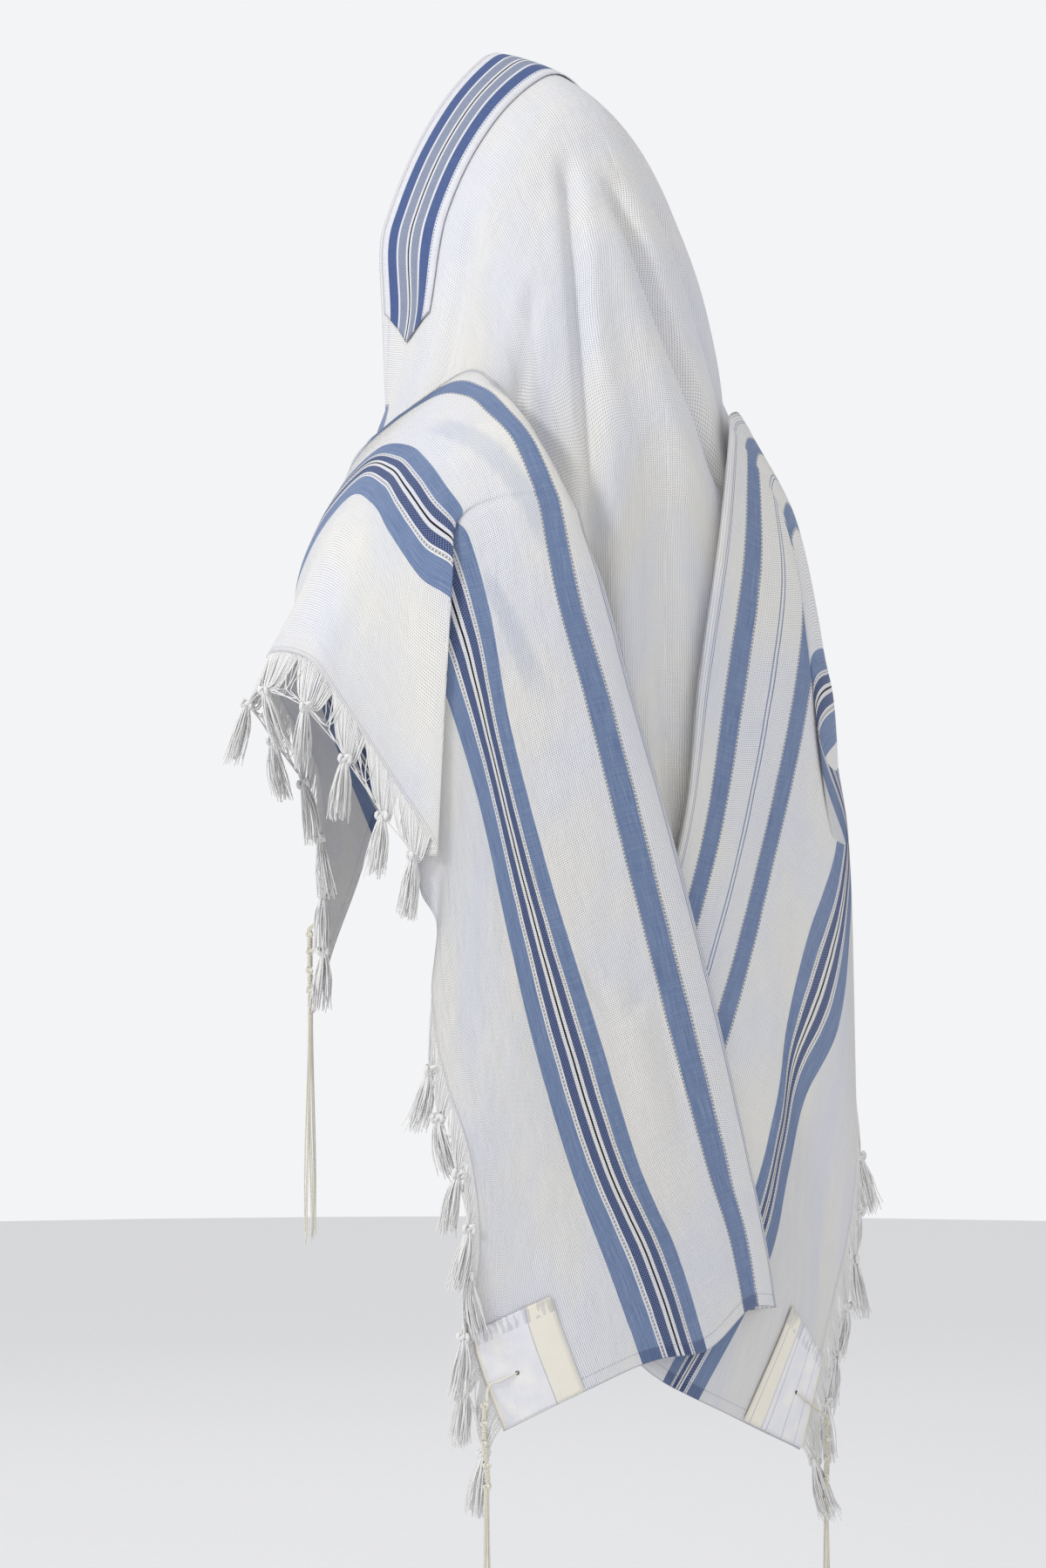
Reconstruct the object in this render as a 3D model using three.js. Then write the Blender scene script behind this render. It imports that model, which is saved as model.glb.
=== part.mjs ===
// Prayer shawl (tallit) worn over the head: one woven cloth, a neckband (atara) along its top edge,
// four corner patches, knotted fringes on its two short sides and a tassel cord set at each corner.
// Millimetres, +Z up.  The origin is the crown, where a head holds the cloth.  The wearer would face
// -Y, so +X is the left hand side and +Y the back.
import * as THREE from "three";
import { mergeVertices } from "three/addons/utils/BufferGeometryUtils.js";

// ---- driving sizes ---------------------------------------------------------------------------
const WALL = 2; // thickness of the cloth
const LAYER = 7; // from the middle of one layer of cloth to the middle of the next
const FACET = 1.3; // spare room over a faceted layer
const SEAM = 0.3; // gap between a sewn-on piece and the cloth under it
const PATCH = 90; // side of a corner patch
const PATCH_WALL = 1.2;
const BAND_WALL = 1.6; // thickness of the neckband
const BAND_FROM_EDGE = 8; // from the top edge of the cloth to the neckband
const BAND_WIDTH = 94;
const BAND_END = 0.8; // how much of the top edge, from foot to foot, the neckband covers
const BAND_POINT = 0.9; // how far its pointed ends reach, in hoop columns
const FRINGE_REACH = 78; // from the hem to the tips of the fringe
const FRINGE_WALL = 5;
const EYELET_INSET = 42; // from both edges of a corner to its eyelet
const CORD = 6; // the eight tassel strings together, as they hang side by side
const WOUND = 9; // the wound and knotted part of a tassel
const WOUND_LENGTH = 72;
const TAIL_LENGTH = 215; // the free strings below the winding
const CLEAR = 7; // how far a tassel hangs clear of the fringe
const OVER_EDGE = 5; // how far a tassel's loop goes past the fringed edge before it drops
const TUBE_SIDES = 8;

// ---- small helpers ---------------------------------------------------------------------------
const rad = THREE.MathUtils.degToRad;
const lerp = THREE.MathUtils.lerp;
const smooth = (from, to, value) => {
  const t = THREE.MathUtils.clamp((value - from) / (to - from), 0, 1);
  return t * t * (3 - 2 * t);
};

/** Catmull-Rom interpolation of a list of numbers at a fractional index. */
function between(values, at) {
  const last = values.length - 1;
  const i = Math.min(Math.max(Math.floor(at), 0), last - 1);
  const t = at - i;
  const p = [values[Math.max(i - 1, 0)], values[i], values[i + 1], values[Math.min(i + 2, last)]];
  const a = (p[2] - p[0]) / 2;
  const b = (p[3] - p[1]) / 2;
  const t2 = t * t;
  const t3 = t2 * t;
  return p[1] * (2 * t3 - 3 * t2 + 1) + a * (t3 - 2 * t2 + t) + p[2] * (3 * t2 - 2 * t3) + b * (t3 - t2);
}

/** Straight interpolation of one named column of a table whose rows go up in another column. */
function column(rows, key, name, value) {
  let i = 0;
  while (i < rows.length - 2 && rows[i + 1][key] < value) i += 1;
  const t = THREE.MathUtils.clamp((value - rows[i][key]) / (rows[i + 1][key] - rows[i][key]), 0, 1);
  return lerp(rows[i][name], rows[i + 1][name], t);
}

// ---- the general figure that the cloth hangs on ----------------------------------------------
// A row for each level: half width, depth behind and before the centre, how far behind the crown
// the centre lies, and how far a slightly raised left arm pushes the cloth out.
const LEVELS = [
  { drop: 200, wide: 134, behind: 138, before: 140, centre: 10, arm: 0 },
  { drop: 255, wide: 150, behind: 150, before: 144, centre: 12, arm: 0 },
  { drop: 285, wide: 160, behind: 154, before: 148, centre: 14, arm: 0 },
  { drop: 310, wide: 170, behind: 157, before: 150, centre: 16, arm: 0 },
  { drop: 330, wide: 186, behind: 160, before: 150, centre: 18, arm: 0 },
  { drop: 350, wide: 204, behind: 162, before: 150, centre: 20, arm: -4 },
  { drop: 385, wide: 232, behind: 163, before: 150, centre: 20, arm: -16 },
  { drop: 440, wide: 262, behind: 164, before: 150, centre: 20, arm: -10 },
  { drop: 500, wide: 286, behind: 165, before: 152, centre: 20, arm: 2 },
  { drop: 550, wide: 300, behind: 165, before: 154, centre: 20, arm: 5 },
  { drop: 600, wide: 306, behind: 166, before: 156, centre: 20, arm: -26 },
  { drop: 650, wide: 311, behind: 167, before: 156, centre: 20, arm: -58 },
  { drop: 800, wide: 314, behind: 168, before: 156, centre: 20, arm: -67 },
  { drop: 1000, wide: 315, behind: 170, before: 156, centre: 20, arm: -56 },
  { drop: 1280, wide: 317, behind: 172, before: 156, centre: 20, arm: -30 },
];
// Which way the normals of each grid have to point to face outwards.
const HOOD_SIDE = -1;
const LEFT_SIDE = -1;
const RIGHT_SIDE = 1;
const ARM_AT = 112; // degrees round from the back
const ARM_SPREAD = 38;

/** A point of the figure, `out` mm off it, `turn` degrees round from the back towards +X. */
function figure(turn, drop, out) {
  const at = (name) => column(LEVELS, "drop", name, drop);
  const s = Math.sin(rad(turn));
  const c = Math.cos(rad(turn));
  const depth = c > 0 ? at("behind") : at("before");
  const bulge = at("arm") * Math.exp(-(((turn - ARM_AT) / ARM_SPREAD) ** 2));
  const r = 1 / Math.hypot(s / at("wide"), c / depth) + bulge + out;
  return new THREE.Vector3(r * s, at("centre") + r * c, -drop);
}

// ---- how the cloth hangs: rows run across each side of the cloth, from its top edge in front, over
// the shoulder and down the back to the hem.  Each column is a thread that runs the whole way, as
// [degrees round from the back, drop below the crown].  The threads lie 0, 155, 225, 310 and 352 mm
// from the fringed edge; past `fold` the cloth turns under, as far as `hidden`.  `tuck` is how far
// that part lies under the rest, and `lift` how far a pleat or a corner stands off what is below it.
const LEFT_ROWS = [
  { fringe: [119, 815], outer: [146, 700], inner: [152, 640], band: [154, 560], fold: [153, 518], hidden: [144, 405], tuck: 0, lift: 30 },
  { fringe: [116, 712], outer: [130, 592], inner: [132, 534], band: [134, 460], fold: [131, 424], hidden: [128, 358], tuck: 0, lift: 22 },
  { fringe: [112, 636], outer: [119, 500], inner: [118, 450], band: [113, 393], fold: [108, 363], hidden: [114, 356], tuck: 0.8, lift: 10 },
  { fringe: [107, 580], outer: [106, 440], inner: [103, 392], band: [95, 346], fold: [88, 324], hidden: [100, 340], tuck: 1, lift: 0 },
  { fringe: [97, 538], outer: [91, 396], inner: [88, 354], band: [76, 303], fold: [67, 284], hidden: [88, 322], tuck: 1, lift: 0 },
  { fringe: [84, 542], outer: [81, 405], inner: [78, 352], band: [63, 304], fold: [55, 302], hidden: [80, 334], tuck: 1, lift: 3 },
  { fringe: [78, 580], outer: [74, 432], inner: [71, 366], band: [55, 322], fold: [46, 334], hidden: [74, 356], tuck: 1, lift: 7 },
  { fringe: [69, 655], outer: [66, 472], inner: [65, 388], band: [48, 348], fold: [40, 372], hidden: [70, 382], tuck: 1, lift: 10 },
  { fringe: [62, 709], outer: [60, 492], inner: [60, 412], band: [43, 388], fold: [34, 411], hidden: [65, 415], tuck: 1, lift: 11 },
  { fringe: [66, 714], outer: [65, 508], inner: [61, 422], band: [42, 398], fold: [33, 421], hidden: [64, 425], tuck: 1, lift: 5 },
  { fringe: [66, 745], outer: [64, 535], inner: [58, 438], band: [41, 412], fold: [32, 434], hidden: [63, 437], tuck: 1, lift: 0 },
  { fringe: [63, 775], outer: [60, 590], inner: [53, 505], band: [37, 490], fold: [27, 482], hidden: [58, 486], tuck: 1, lift: 0 },
  { fringe: [64, 835], outer: [55, 670], inner: [49, 600], band: [30, 575], fold: [19, 575], hidden: [50, 575], tuck: 1, lift: 0 },
  { fringe: [62, 900], outer: [50, 770], inner: [41, 727], band: [21, 690], fold: [8, 685], hidden: [41, 690], tuck: 1, lift: 0 },
  { fringe: [57, 970], outer: [44, 879], inner: [29, 870], band: [7, 850], fold: [-8, 845], hidden: [26, 850], tuck: 1, lift: 0 },
  { fringe: [55, 1045], outer: [36, 985], inner: [18, 985], band: [-6, 985], fold: [-21, 990], hidden: [13, 985], tuck: 1, lift: 0 },
  { fringe: [56, 1130], outer: [26, 1080], inner: [6, 1065], band: [-14, 1055], fold: [-27, 1060], hidden: [6, 1060], tuck: 1, lift: 0 },
  { fringe: [50, 1212], outer: [17, 1161], inner: [-4, 1154], band: [-19, 1122], fold: [-31, 1124], hidden: [3, 1124], tuck: 1, lift: 0 },
];
const RIGHT_ROWS = [
  { fringe: [-155, 825], outer: [-160, 670], inner: [-158, 600], band: [-154, 520], fold: [-148, 440], hidden: [-142, 385], tuck: 0, lift: 0 },
  { fringe: [-138, 770], outer: [-143, 610], inner: [-142, 545], band: [-138, 468], fold: [-132, 395], hidden: [-126, 352], tuck: 0, lift: 0 },
  { fringe: [-120, 800], outer: [-122, 640], inner: [-119, 570], band: [-110, 475], fold: [-94, 350], hidden: [-104, 355], tuck: 0.4, lift: 0 },
  { fringe: [-110, 812], outer: [-107, 634], inner: [-103, 560], band: [-92, 440], fold: [-70, 328], hidden: [-80, 338], tuck: 0.8, lift: 0 },
  { fringe: [-100, 820], outer: [-93, 625], inner: [-88, 545], band: [-76, 410], fold: [-47, 318], hidden: [-60, 327], tuck: 1, lift: 0 },
  { fringe: [-84, 850], outer: [-66, 610], inner: [-62, 525], band: [-57, 400], fold: [-36, 320], hidden: [-49, 331], tuck: 1, lift: 0 },
  { fringe: [-75, 880], outer: [-56, 640], inner: [-54, 545], band: [-51, 415], fold: [-31, 328], hidden: [-45, 342], tuck: 1, lift: 4 },
  { fringe: [-80, 930], outer: [-67, 720], inner: [-65, 640], band: [-54, 435], fold: [-28, 345], hidden: [-44, 362], tuck: 1, lift: 9 },
  { fringe: [-76, 985], outer: [-67, 800], inner: [-62, 715], band: [-55, 500], fold: [-20, 440], hidden: [-42, 446], tuck: 1, lift: 8 },
  { fringe: [-72, 1035], outer: [-61, 880], inner: [-49, 795], band: [-47, 590], fold: [-11, 560], hidden: [-41, 570], tuck: 1, lift: 5 },
  { fringe: [-66, 1085], outer: [-47, 940], inner: [-41, 870], band: [-34, 710], fold: [-4, 680], hidden: [-34, 690], tuck: 1, lift: 2 },
  { fringe: [-60, 1130], outer: [-41, 1005], inner: [-36, 945], band: [-20, 830], fold: [8, 790], hidden: [-22, 800], tuck: 1, lift: 0 },
  { fringe: [-54, 1180], outer: [-32, 1090], inner: [-22, 1050], band: [0, 970], fold: [24, 940], hidden: [-8, 950], tuck: 1, lift: 0 },
  { fringe: [-45, 1260], outer: [-5, 1200], inner: [8, 1180], band: [22, 1150], fold: [38, 1125], hidden: [6, 1125], tuck: 1, lift: 0 },
];
const THREADS = ["fringe", "outer", "inner", "band", "fold", "turned", "hidden"];
const TURNED = 0.16; // where the turned-under edge lies, as a share of the way to `hidden`
const THREAD_LIFT = [1, 0.8, 0.2, 0, 0, 0, 0]; // how much of a row's lift each thread takes

/** Where each thread of one row lies, from the fringed edge inwards. */
function threadPoints(row, cover) {
  return THREADS.map((name, i) => {
    const share = name === "turned" ? TURNED : 0;
    const [turn, drop] = share
      ? [lerp(row.fold[0], row.hidden[0], share), lerp(row.fold[1], row.hidden[1], share)]
      : row[name];
    const under = { fold: 0.5, turned: 1, hidden: 1 }[name] ?? 0;
    return figure(turn, drop, cover(turn) + row.lift * THREAD_LIFT[i] - LAYER * row.tuck * under);
  });
}

// How far each side's outer layer lies off the figure: the left side also covers the right one.
const leftCover = (turn) => lerp(8, 23, smooth(78, 40, turn));
const rightCover = () => 8;

/** A smooth surface through rows of points: at(across, along) counts in rows and columns. */
function surface(rows) {
  const axis = (name) => rows.map((row) => row.map((p) => p[name]));
  const grids = { x: axis("x"), y: axis("y"), z: axis("z") };
  const value = (grid, across, along) => between(grid.map((row) => between(row, across)), along);
  const at = (across, along) =>
    new THREE.Vector3(value(grids.x, across, along), value(grids.y, across, along), value(grids.z, across, along));
  return { at, across: rows[0].length - 1, along: rows.length - 1 };
}

/** The unit normal of a surface, towards the side that shows. */
function normalAt(sheet, across, along, side) {
  const step = 0.02;
  const a = THREE.MathUtils.clamp(across, step, sheet.across - step);
  const b = THREE.MathUtils.clamp(along, step, sheet.along - step);
  const du = sheet.at(a + step, b).sub(sheet.at(a - step, b));
  const dv = sheet.at(a, b + step).sub(sheet.at(a, b - step));
  return du.cross(dv).normalize().multiplyScalar(side);
}

/** A closed wall of the given thickness round a grid of points with their normals. */
function wall(points, normals, thickness) {
  const rows = points.length;
  const cols = points[0].length;
  const place = [];
  for (const side of [1, -1]) {
    points.forEach((row, r) => {
      row.forEach((p, c) => place.push(...p.clone().addScaledVector(normals[r][c], (side * thickness) / 2)));
    });
  }
  const id = (side, r, c) => side * rows * cols + r * cols + c;
  const index = [];
  const quad = (a, b, c, d) => index.push(a, b, c, a, c, d);
  for (let r = 0; r < rows - 1; r += 1) {
    for (let c = 0; c < cols - 1; c += 1) {
      quad(id(0, r, c), id(0, r, c + 1), id(0, r + 1, c + 1), id(0, r + 1, c));
      quad(id(1, r, c), id(1, r + 1, c), id(1, r + 1, c + 1), id(1, r, c + 1));
    }
  }
  for (let c = 0; c < cols - 1; c += 1) {
    quad(id(1, 0, c), id(1, 0, c + 1), id(0, 0, c + 1), id(0, 0, c));
    quad(id(0, rows - 1, c), id(0, rows - 1, c + 1), id(1, rows - 1, c + 1), id(1, rows - 1, c));
  }
  for (let r = 0; r < rows - 1; r += 1) {
    quad(id(0, r, 0), id(0, r + 1, 0), id(1, r + 1, 0), id(1, r, 0));
    quad(id(1, r, cols - 1), id(1, r + 1, cols - 1), id(0, r + 1, cols - 1), id(0, r, cols - 1));
  }
  const geometry = new THREE.BufferGeometry();
  geometry.setAttribute("position", new THREE.Float32BufferAttribute(place, 3));
  geometry.setIndex(index);
  return outward(geometry);
}

/** Turns every triangle round if the body is inside out. */
function outward(geometry) {
  const position = geometry.getAttribute("position");
  const index = Array.from(geometry.getIndex().array);
  const corner = [0, 1, 2].map(() => new THREE.Vector3());
  let volume = 0;
  for (let i = 0; i < index.length; i += 3) {
    corner.forEach((v, k) => v.fromBufferAttribute(position, index[i + k]));
    volume += corner[0].dot(corner[1].clone().cross(corner[2]));
  }
  if (volume < 0) geometry.setIndex(index.map((_, i) => index[i - (i % 3) + 2 - (i % 3)]));
  geometry.computeVertexNormals();
  return geometry;
}

/** Samples part of a surface at the given columns and rows, moved `out` along its normal. */
function sample(sheet, acrossAt, alongAt, side, out) {
  const points = [];
  const normals = [];
  for (const b of alongAt) {
    const normalRow = acrossAt.map((a) => normalAt(sheet, a, b, side));
    points.push(acrossAt.map((a, i) => sheet.at(a, b).addScaledVector(normalRow[i], out)));
    normals.push(normalRow);
  }
  return { points, normals };
}

/** Evenly spaced values from one number to another. */
const steps = (from, to, count) => Array.from({ length: count + 1 }, (_, i) => lerp(from, to, i / count));

/** Steps between whole columns, a given number in each. */
function spread(counts) {
  const list = [0];
  counts.forEach((count, i) => list.push(...steps(i, i + 1, count).slice(1)));
  return list;
}

// ---- the middle of the cloth: over the head and down the back ---------------------------------
// A row for each hoop across the cloth, from the top edge at the forehead backwards.  `back` and
// `up` place the hoop's middle, `wide`, `wideBack` and `wideDown` its widest point, `arch` is the
// exponent of its round (1 is a straight slope, 2 an ellipse), and `turn` and `drop` place its foot
// on the figure.
const HOOPS = [
  { back: -80, up: 34, wide: 116, wideBack: -101, wideDown: 155, arch: 1.42, turn: 136, drop: 350 },
  { back: -32, up: 21, wide: 119, wideBack: -52, wideDown: 160, arch: 1.48, turn: 114, drop: 350 },
  { back: 20, up: 0, wide: 122, wideBack: -2, wideDown: 166, arch: 1.55, turn: 97, drop: 352 },
  { back: 64, up: -31, wide: 123, wideBack: 42, wideDown: 182, arch: 1.6, turn: 84, drop: 358 },
  { back: 98, up: -84, wide: 120, wideBack: 72, wideDown: 225, arch: 1.7, turn: 74, drop: 372 },
  { back: 128, up: -152, wide: 114, wideBack: 100, wideDown: 275, arch: 1.9, turn: 65, drop: 400 },
  { back: 150, up: -240, wide: 108, wideBack: 124, wideDown: 335, arch: 2, turn: 58, drop: 450 },
];
const OPEN_FROM = 124; // nothing lies over the middle further round than this, by the face
const UNDER = -7; // the middle lies this far inside the figure, below both sides
// Below the neck a row is a line across the back: its two ends and its middle, on the figure.
const BACK_ROWS = [
  { middle: 340, turn: 54, drop: 520 },
  { middle: 470, turn: 50, drop: 610 },
  { middle: 640, turn: 46, drop: 740 },
  { middle: 820, turn: 42, drop: 880 },
  { middle: 980, turn: 36, drop: 1010 },
  { middle: 1110, turn: 30, drop: 1122 },
];
const ARCH_AT = [1, 0.8, 0.6, 0.4, 0.2, 0]; // from the widest point up to the middle

/** Keeps a point of the middle inside the figure where a side lies over it. */
function pressed(point) {
  const centre = column(LEVELS, "drop", "centre", -point.z);
  const turn = THREE.MathUtils.radToDeg(Math.atan2(point.x, point.y - centre));
  if (turn > OPEN_FROM || -point.z < LEVELS[0].drop) return point;
  const limit = figure(turn, -point.z, UNDER - 1);
  const reach = Math.hypot(point.x, point.y - centre);
  return reach > Math.hypot(limit.x, limit.y - centre) ? limit : point;
}

/** One half of a hoop, from its foot up to its middle, on the left. */
function hoopHalf(hoop) {
  const foot = figure(hoop.turn, hoop.drop, UNDER);
  const widest = new THREE.Vector3(hoop.wide, hoop.wideBack, -hoop.wideDown);
  const half = [foot, ...[0.34, 0.67].map((share) => pressed(foot.clone().lerp(widest, share)))];
  for (const share of ARCH_AT) {
    const out = Math.sin((share * Math.PI) / 2) ** (2 / hoop.arch);
    const rise = Math.cos((share * Math.PI) / 2) ** (2 / hoop.arch);
    const y = lerp(hoop.wideBack, hoop.back, rise);
    half.push(new THREE.Vector3(hoop.wide * out, y, lerp(-hoop.wideDown, hoop.up, rise)));
  }
  return half;
}

/** One half of a row across the back, from its left end to its middle. */
function backHalf(row) {
  const count = ARCH_AT.length + 2;
  return steps(1, 0, count).map((share) =>
    figure(row.turn * share, lerp(row.middle, row.drop, share * share), UNDER));
}

/** Mirrors a left half and joins both. */
function mirrored(half) {
  const other = half.slice(0, -1).reverse().map((p) => new THREE.Vector3(-p.x, p.y, p.z));
  return [...half, ...other];
}

// Folds of the hood and back: long soft troughs, each from one place of the figure to another.
const FOLDS = [
  { turn: 31, drop: 70, endTurn: 24, endDrop: 560, deep: 11, wide: 15 },
  { turn: 8, drop: 110, endTurn: -27, endDrop: 390, deep: 13, wide: 17 },
  { turn: 46, drop: 215, endTurn: 48, endDrop: 330, deep: 5, wide: 12 },
  { turn: 76, drop: 110, endTurn: 80, endDrop: 330, deep: 5, wide: 13 },
  { turn: -22, drop: 90, endTurn: -38, endDrop: 330, deep: 5, wide: 14 },
  { turn: -62, drop: 110, endTurn: -70, endDrop: 330, deep: 6, wide: 16 },
  { turn: 4, drop: 400, endTurn: -2, endDrop: 700, deep: 6, wide: 16 },
];
const FOLD_FADE = 45; // over this many mm a fold runs out at its ends

/** How deep the folds are at a point of the hood or back. */
function foldDepth(point) {
  const turn = THREE.MathUtils.radToDeg(Math.atan2(point.x, point.y - 10));
  const reach = Math.hypot(point.x, point.y - 10);
  let depth = 0;
  for (const fold of FOLDS) {
    const along = (-point.z - fold.drop) / (fold.endDrop - fold.drop);
    const length = fold.endDrop - fold.drop;
    const fade = smooth(0, FOLD_FADE / length, along) * smooth(1, 1 - FOLD_FADE / length, along);
    const aside = rad(turn - lerp(fold.turn, fold.endTurn, along)) * reach;
    depth += fold.deep * fade * Math.exp(-((aside / fold.wide) ** 2));
  }
  return depth;
}

const hoodRows = [...HOOPS.map(hoopHalf), ...BACK_ROWS.map(backHalf)].map(mirrored);
const hood = surface(hoodRows);
const MIDDLE = hood.across / 2;

/** Hood points with the folds pressed in. */
function foldedHood(acrossAt, alongAt, out) {
  const part = sample(hood, acrossAt, alongAt, HOOD_SIDE, 0);
  part.points.forEach((row, r) => row.forEach((p, c) =>
    p.addScaledVector(part.normals[r][c], out - foldDepth(p))));
  return part;
}

/** The row coordinate that lies `distance` mm from another along one column of a surface. */
function rowAt(sheet, across, from, distance, step = 1) {
  const stride = 0.02 * step;
  let at = from;
  let gone = 0;
  let here = sheet.at(across, at);
  while (gone < distance) {
    const next = sheet.at(across, at + stride);
    gone += next.distanceTo(here);
    here = next;
    at += stride;
  }
  return at;
}

/** A plain round cord through a few points, with eight sides. */
function tube(points, radius) {
  const section = new THREE.Shape();
  steps(0, 2 * Math.PI, TUBE_SIDES).slice(0, -1).forEach((angle, i) => {
    const place = [radius * Math.cos(angle), radius * Math.sin(angle)];
    if (i) section.lineTo(...place);
    else section.moveTo(...place);
  });
  const path = points.length > 2 ? new THREE.CatmullRomCurve3(points) : new THREE.LineCurve3(...points);
  const options = { steps: points.length > 2 ? 8 : 4, extrudePath: path, bevelEnabled: false };
  return mergedBody(new THREE.ExtrudeGeometry(section, options));
}

/** Joins a geometry's doubled corners into one closed body. */
function mergedBody(geometry) {
  geometry.deleteAttribute("normal");
  geometry.deleteAttribute("uv");
  return outward(mergeVertices(geometry, 1e-3));
}

// ---- putting the pieces together --------------------------------------------------------------
const tallit = new THREE.Group();
const materials = {
  cloth: { color: 0xf2efe8, roughness: 0.9, metalness: 0 },
  band: { color: 0x5f6f92, roughness: 0.8, metalness: 0 },
  satin: { color: 0xf1ebdd, roughness: 0.6, metalness: 0 },
  yarn: { color: 0xf6f4ef, roughness: 0.95, metalness: 0 },
};

/** Adds one named piece with its own material. */
function add(name, geometry, finish) {
  const mesh = new THREE.Mesh(geometry, new THREE.MeshStandardMaterial(materials[finish]));
  mesh.name = name;
  tallit.add(mesh);
}

const hoodAcross = steps(0, hood.across, 30);
const hoodAlong = [...steps(0, 6, 12), ...steps(6, hood.along, 9).slice(1)];
const hoodPart = foldedHood(hoodAcross, hoodAlong, 0);
add("hood_and_back", wall(hoodPart.points, hoodPart.normals, WALL), "cloth");

const left = surface(LEFT_ROWS.map((row) => threadPoints(row, leftCover)));
const right = surface(RIGHT_ROWS.map((row) => threadPoints(row, rightCover)));
const threadAt = spread([3, 2, 2, 2, 2, 2]);
const leftPart = sample(left, threadAt, steps(0, left.along, left.along * 2), LEFT_SIDE, 0);
add("left_side", wall(leftPart.points, leftPart.normals, WALL), "cloth");
const rightPart = sample(right, threadAt, steps(0, right.along, right.along * 3), RIGHT_SIDE, 0);
add("right_side", wall(rightPart.points, rightPart.normals, WALL), "cloth");

// The neckband lies on the outside of the hood, a little back from its top edge, and ends in a point
// on each side.
const BAND_ROWS = 4;
const bandPoints = [];
const bandNormals = [];
const bandStart = hood.across * (1 - BAND_END);
for (let r = 0; r <= BAND_ROWS; r += 1) {
  const inset = Math.abs(r / BAND_ROWS - 0.5) * BAND_POINT;
  const columns = steps(bandStart / 2 + inset, hood.across - bandStart / 2 - inset, 40);
  const row = columns.map((a) => {
    const back = BAND_FROM_EDGE + (r / BAND_ROWS) * BAND_WIDTH;
    return foldedHood([a], [rowAt(hood, a, 0, back)], (WALL + BAND_WALL) / 2 + SEAM + FACET);
  });
  bandPoints.push(row.map((part) => part.points[0][0]));
  bandNormals.push(row.map((part) => part.normals[0][0]));
}
add("neckband", wall(bandPoints, bandNormals, BAND_WALL), "band");

// A square patch on each corner of the cloth.
const CORNERS = [
  { name: "left_front", sheet: left, side: LEFT_SIDE, from: 0, step: 1 },
  { name: "left_back", sheet: left, side: LEFT_SIDE, from: left.along, step: -1 },
  { name: "right_front", sheet: right, side: RIGHT_SIDE, from: 0, step: 1 },
  { name: "right_back", sheet: right, side: RIGHT_SIDE, from: right.along, step: -1 },
];
const PATCH_CELLS = 4;
const PATCH_INSET = 1; // from the edges of the cloth
const THREAD_GAP = 155; // mm of cloth in the first column of a side
for (const corner of CORNERS) {
  const cells = steps(PATCH_INSET, PATCH_INSET + PATCH, PATCH_CELLS);
  const across = cells.map((mm) => mm / THREAD_GAP);
  const along = cells.map((mm) => rowAt(corner.sheet, 0, corner.from, mm, corner.step));
  const lift = (WALL + PATCH_WALL) / 2 + SEAM + FACET;
  const patch = sample(corner.sheet, across, along, corner.side, lift);
  add(`patch_${corner.name}`, wall(patch.points, patch.normals, PATCH_WALL), "satin");
}

// The knotted fringe along each short side, as a plain strip of its reach: it hangs down from the hem
// and a little outwards.  It stops where a pleat turns the hem under.
const FRINGES = [
  { name: "left_upper", sheet: left, side: LEFT_SIDE, from: 0.35, to: 6.7 },
  { name: "left_lower", sheet: left, side: LEFT_SIDE, from: 12, to: left.along - 0.1 },
  { name: "right_front", sheet: right, side: RIGHT_SIDE, from: 0.35, to: 5 },
  { name: "right_back", sheet: right, side: RIGHT_SIDE, from: 7.2, to: right.along - 0.1 },
];
const FRINGE_FROM_HEM = 2.5;
const FRINGE_OUT = 0.7; // how far the fringe leans out for each mm that it hangs down
for (const fringe of FRINGES) {
  const count = Math.round((fringe.to - fringe.from) * 3);
  const rows = [];
  const normals = [];
  for (const b of steps(fringe.from, fringe.to, count)) {
    const hem = fringe.sheet.at(0, b);
    const out = hem.clone().sub(fringe.sheet.at(0.1, b)).normalize();
    const normal = normalAt(fringe.sheet, 0, b, fringe.side);
    const hang = out.clone().multiplyScalar(FRINGE_OUT).add(new THREE.Vector3(0, 0, -1));
    hang.addScaledVector(normal, -hang.dot(normal)).normalize();
    const start = hem.addScaledVector(out, FRINGE_FROM_HEM);
    rows.push([start, start.clone().addScaledVector(hang, FRINGE_REACH / 2),
      start.clone().addScaledVector(hang, FRINGE_REACH)]);
    normals.push([normal, normal, normal]);
  }
  add(`fringe_${fringe.name}`, wall(rows, normals, FRINGE_WALL), "yarn");
}

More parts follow.
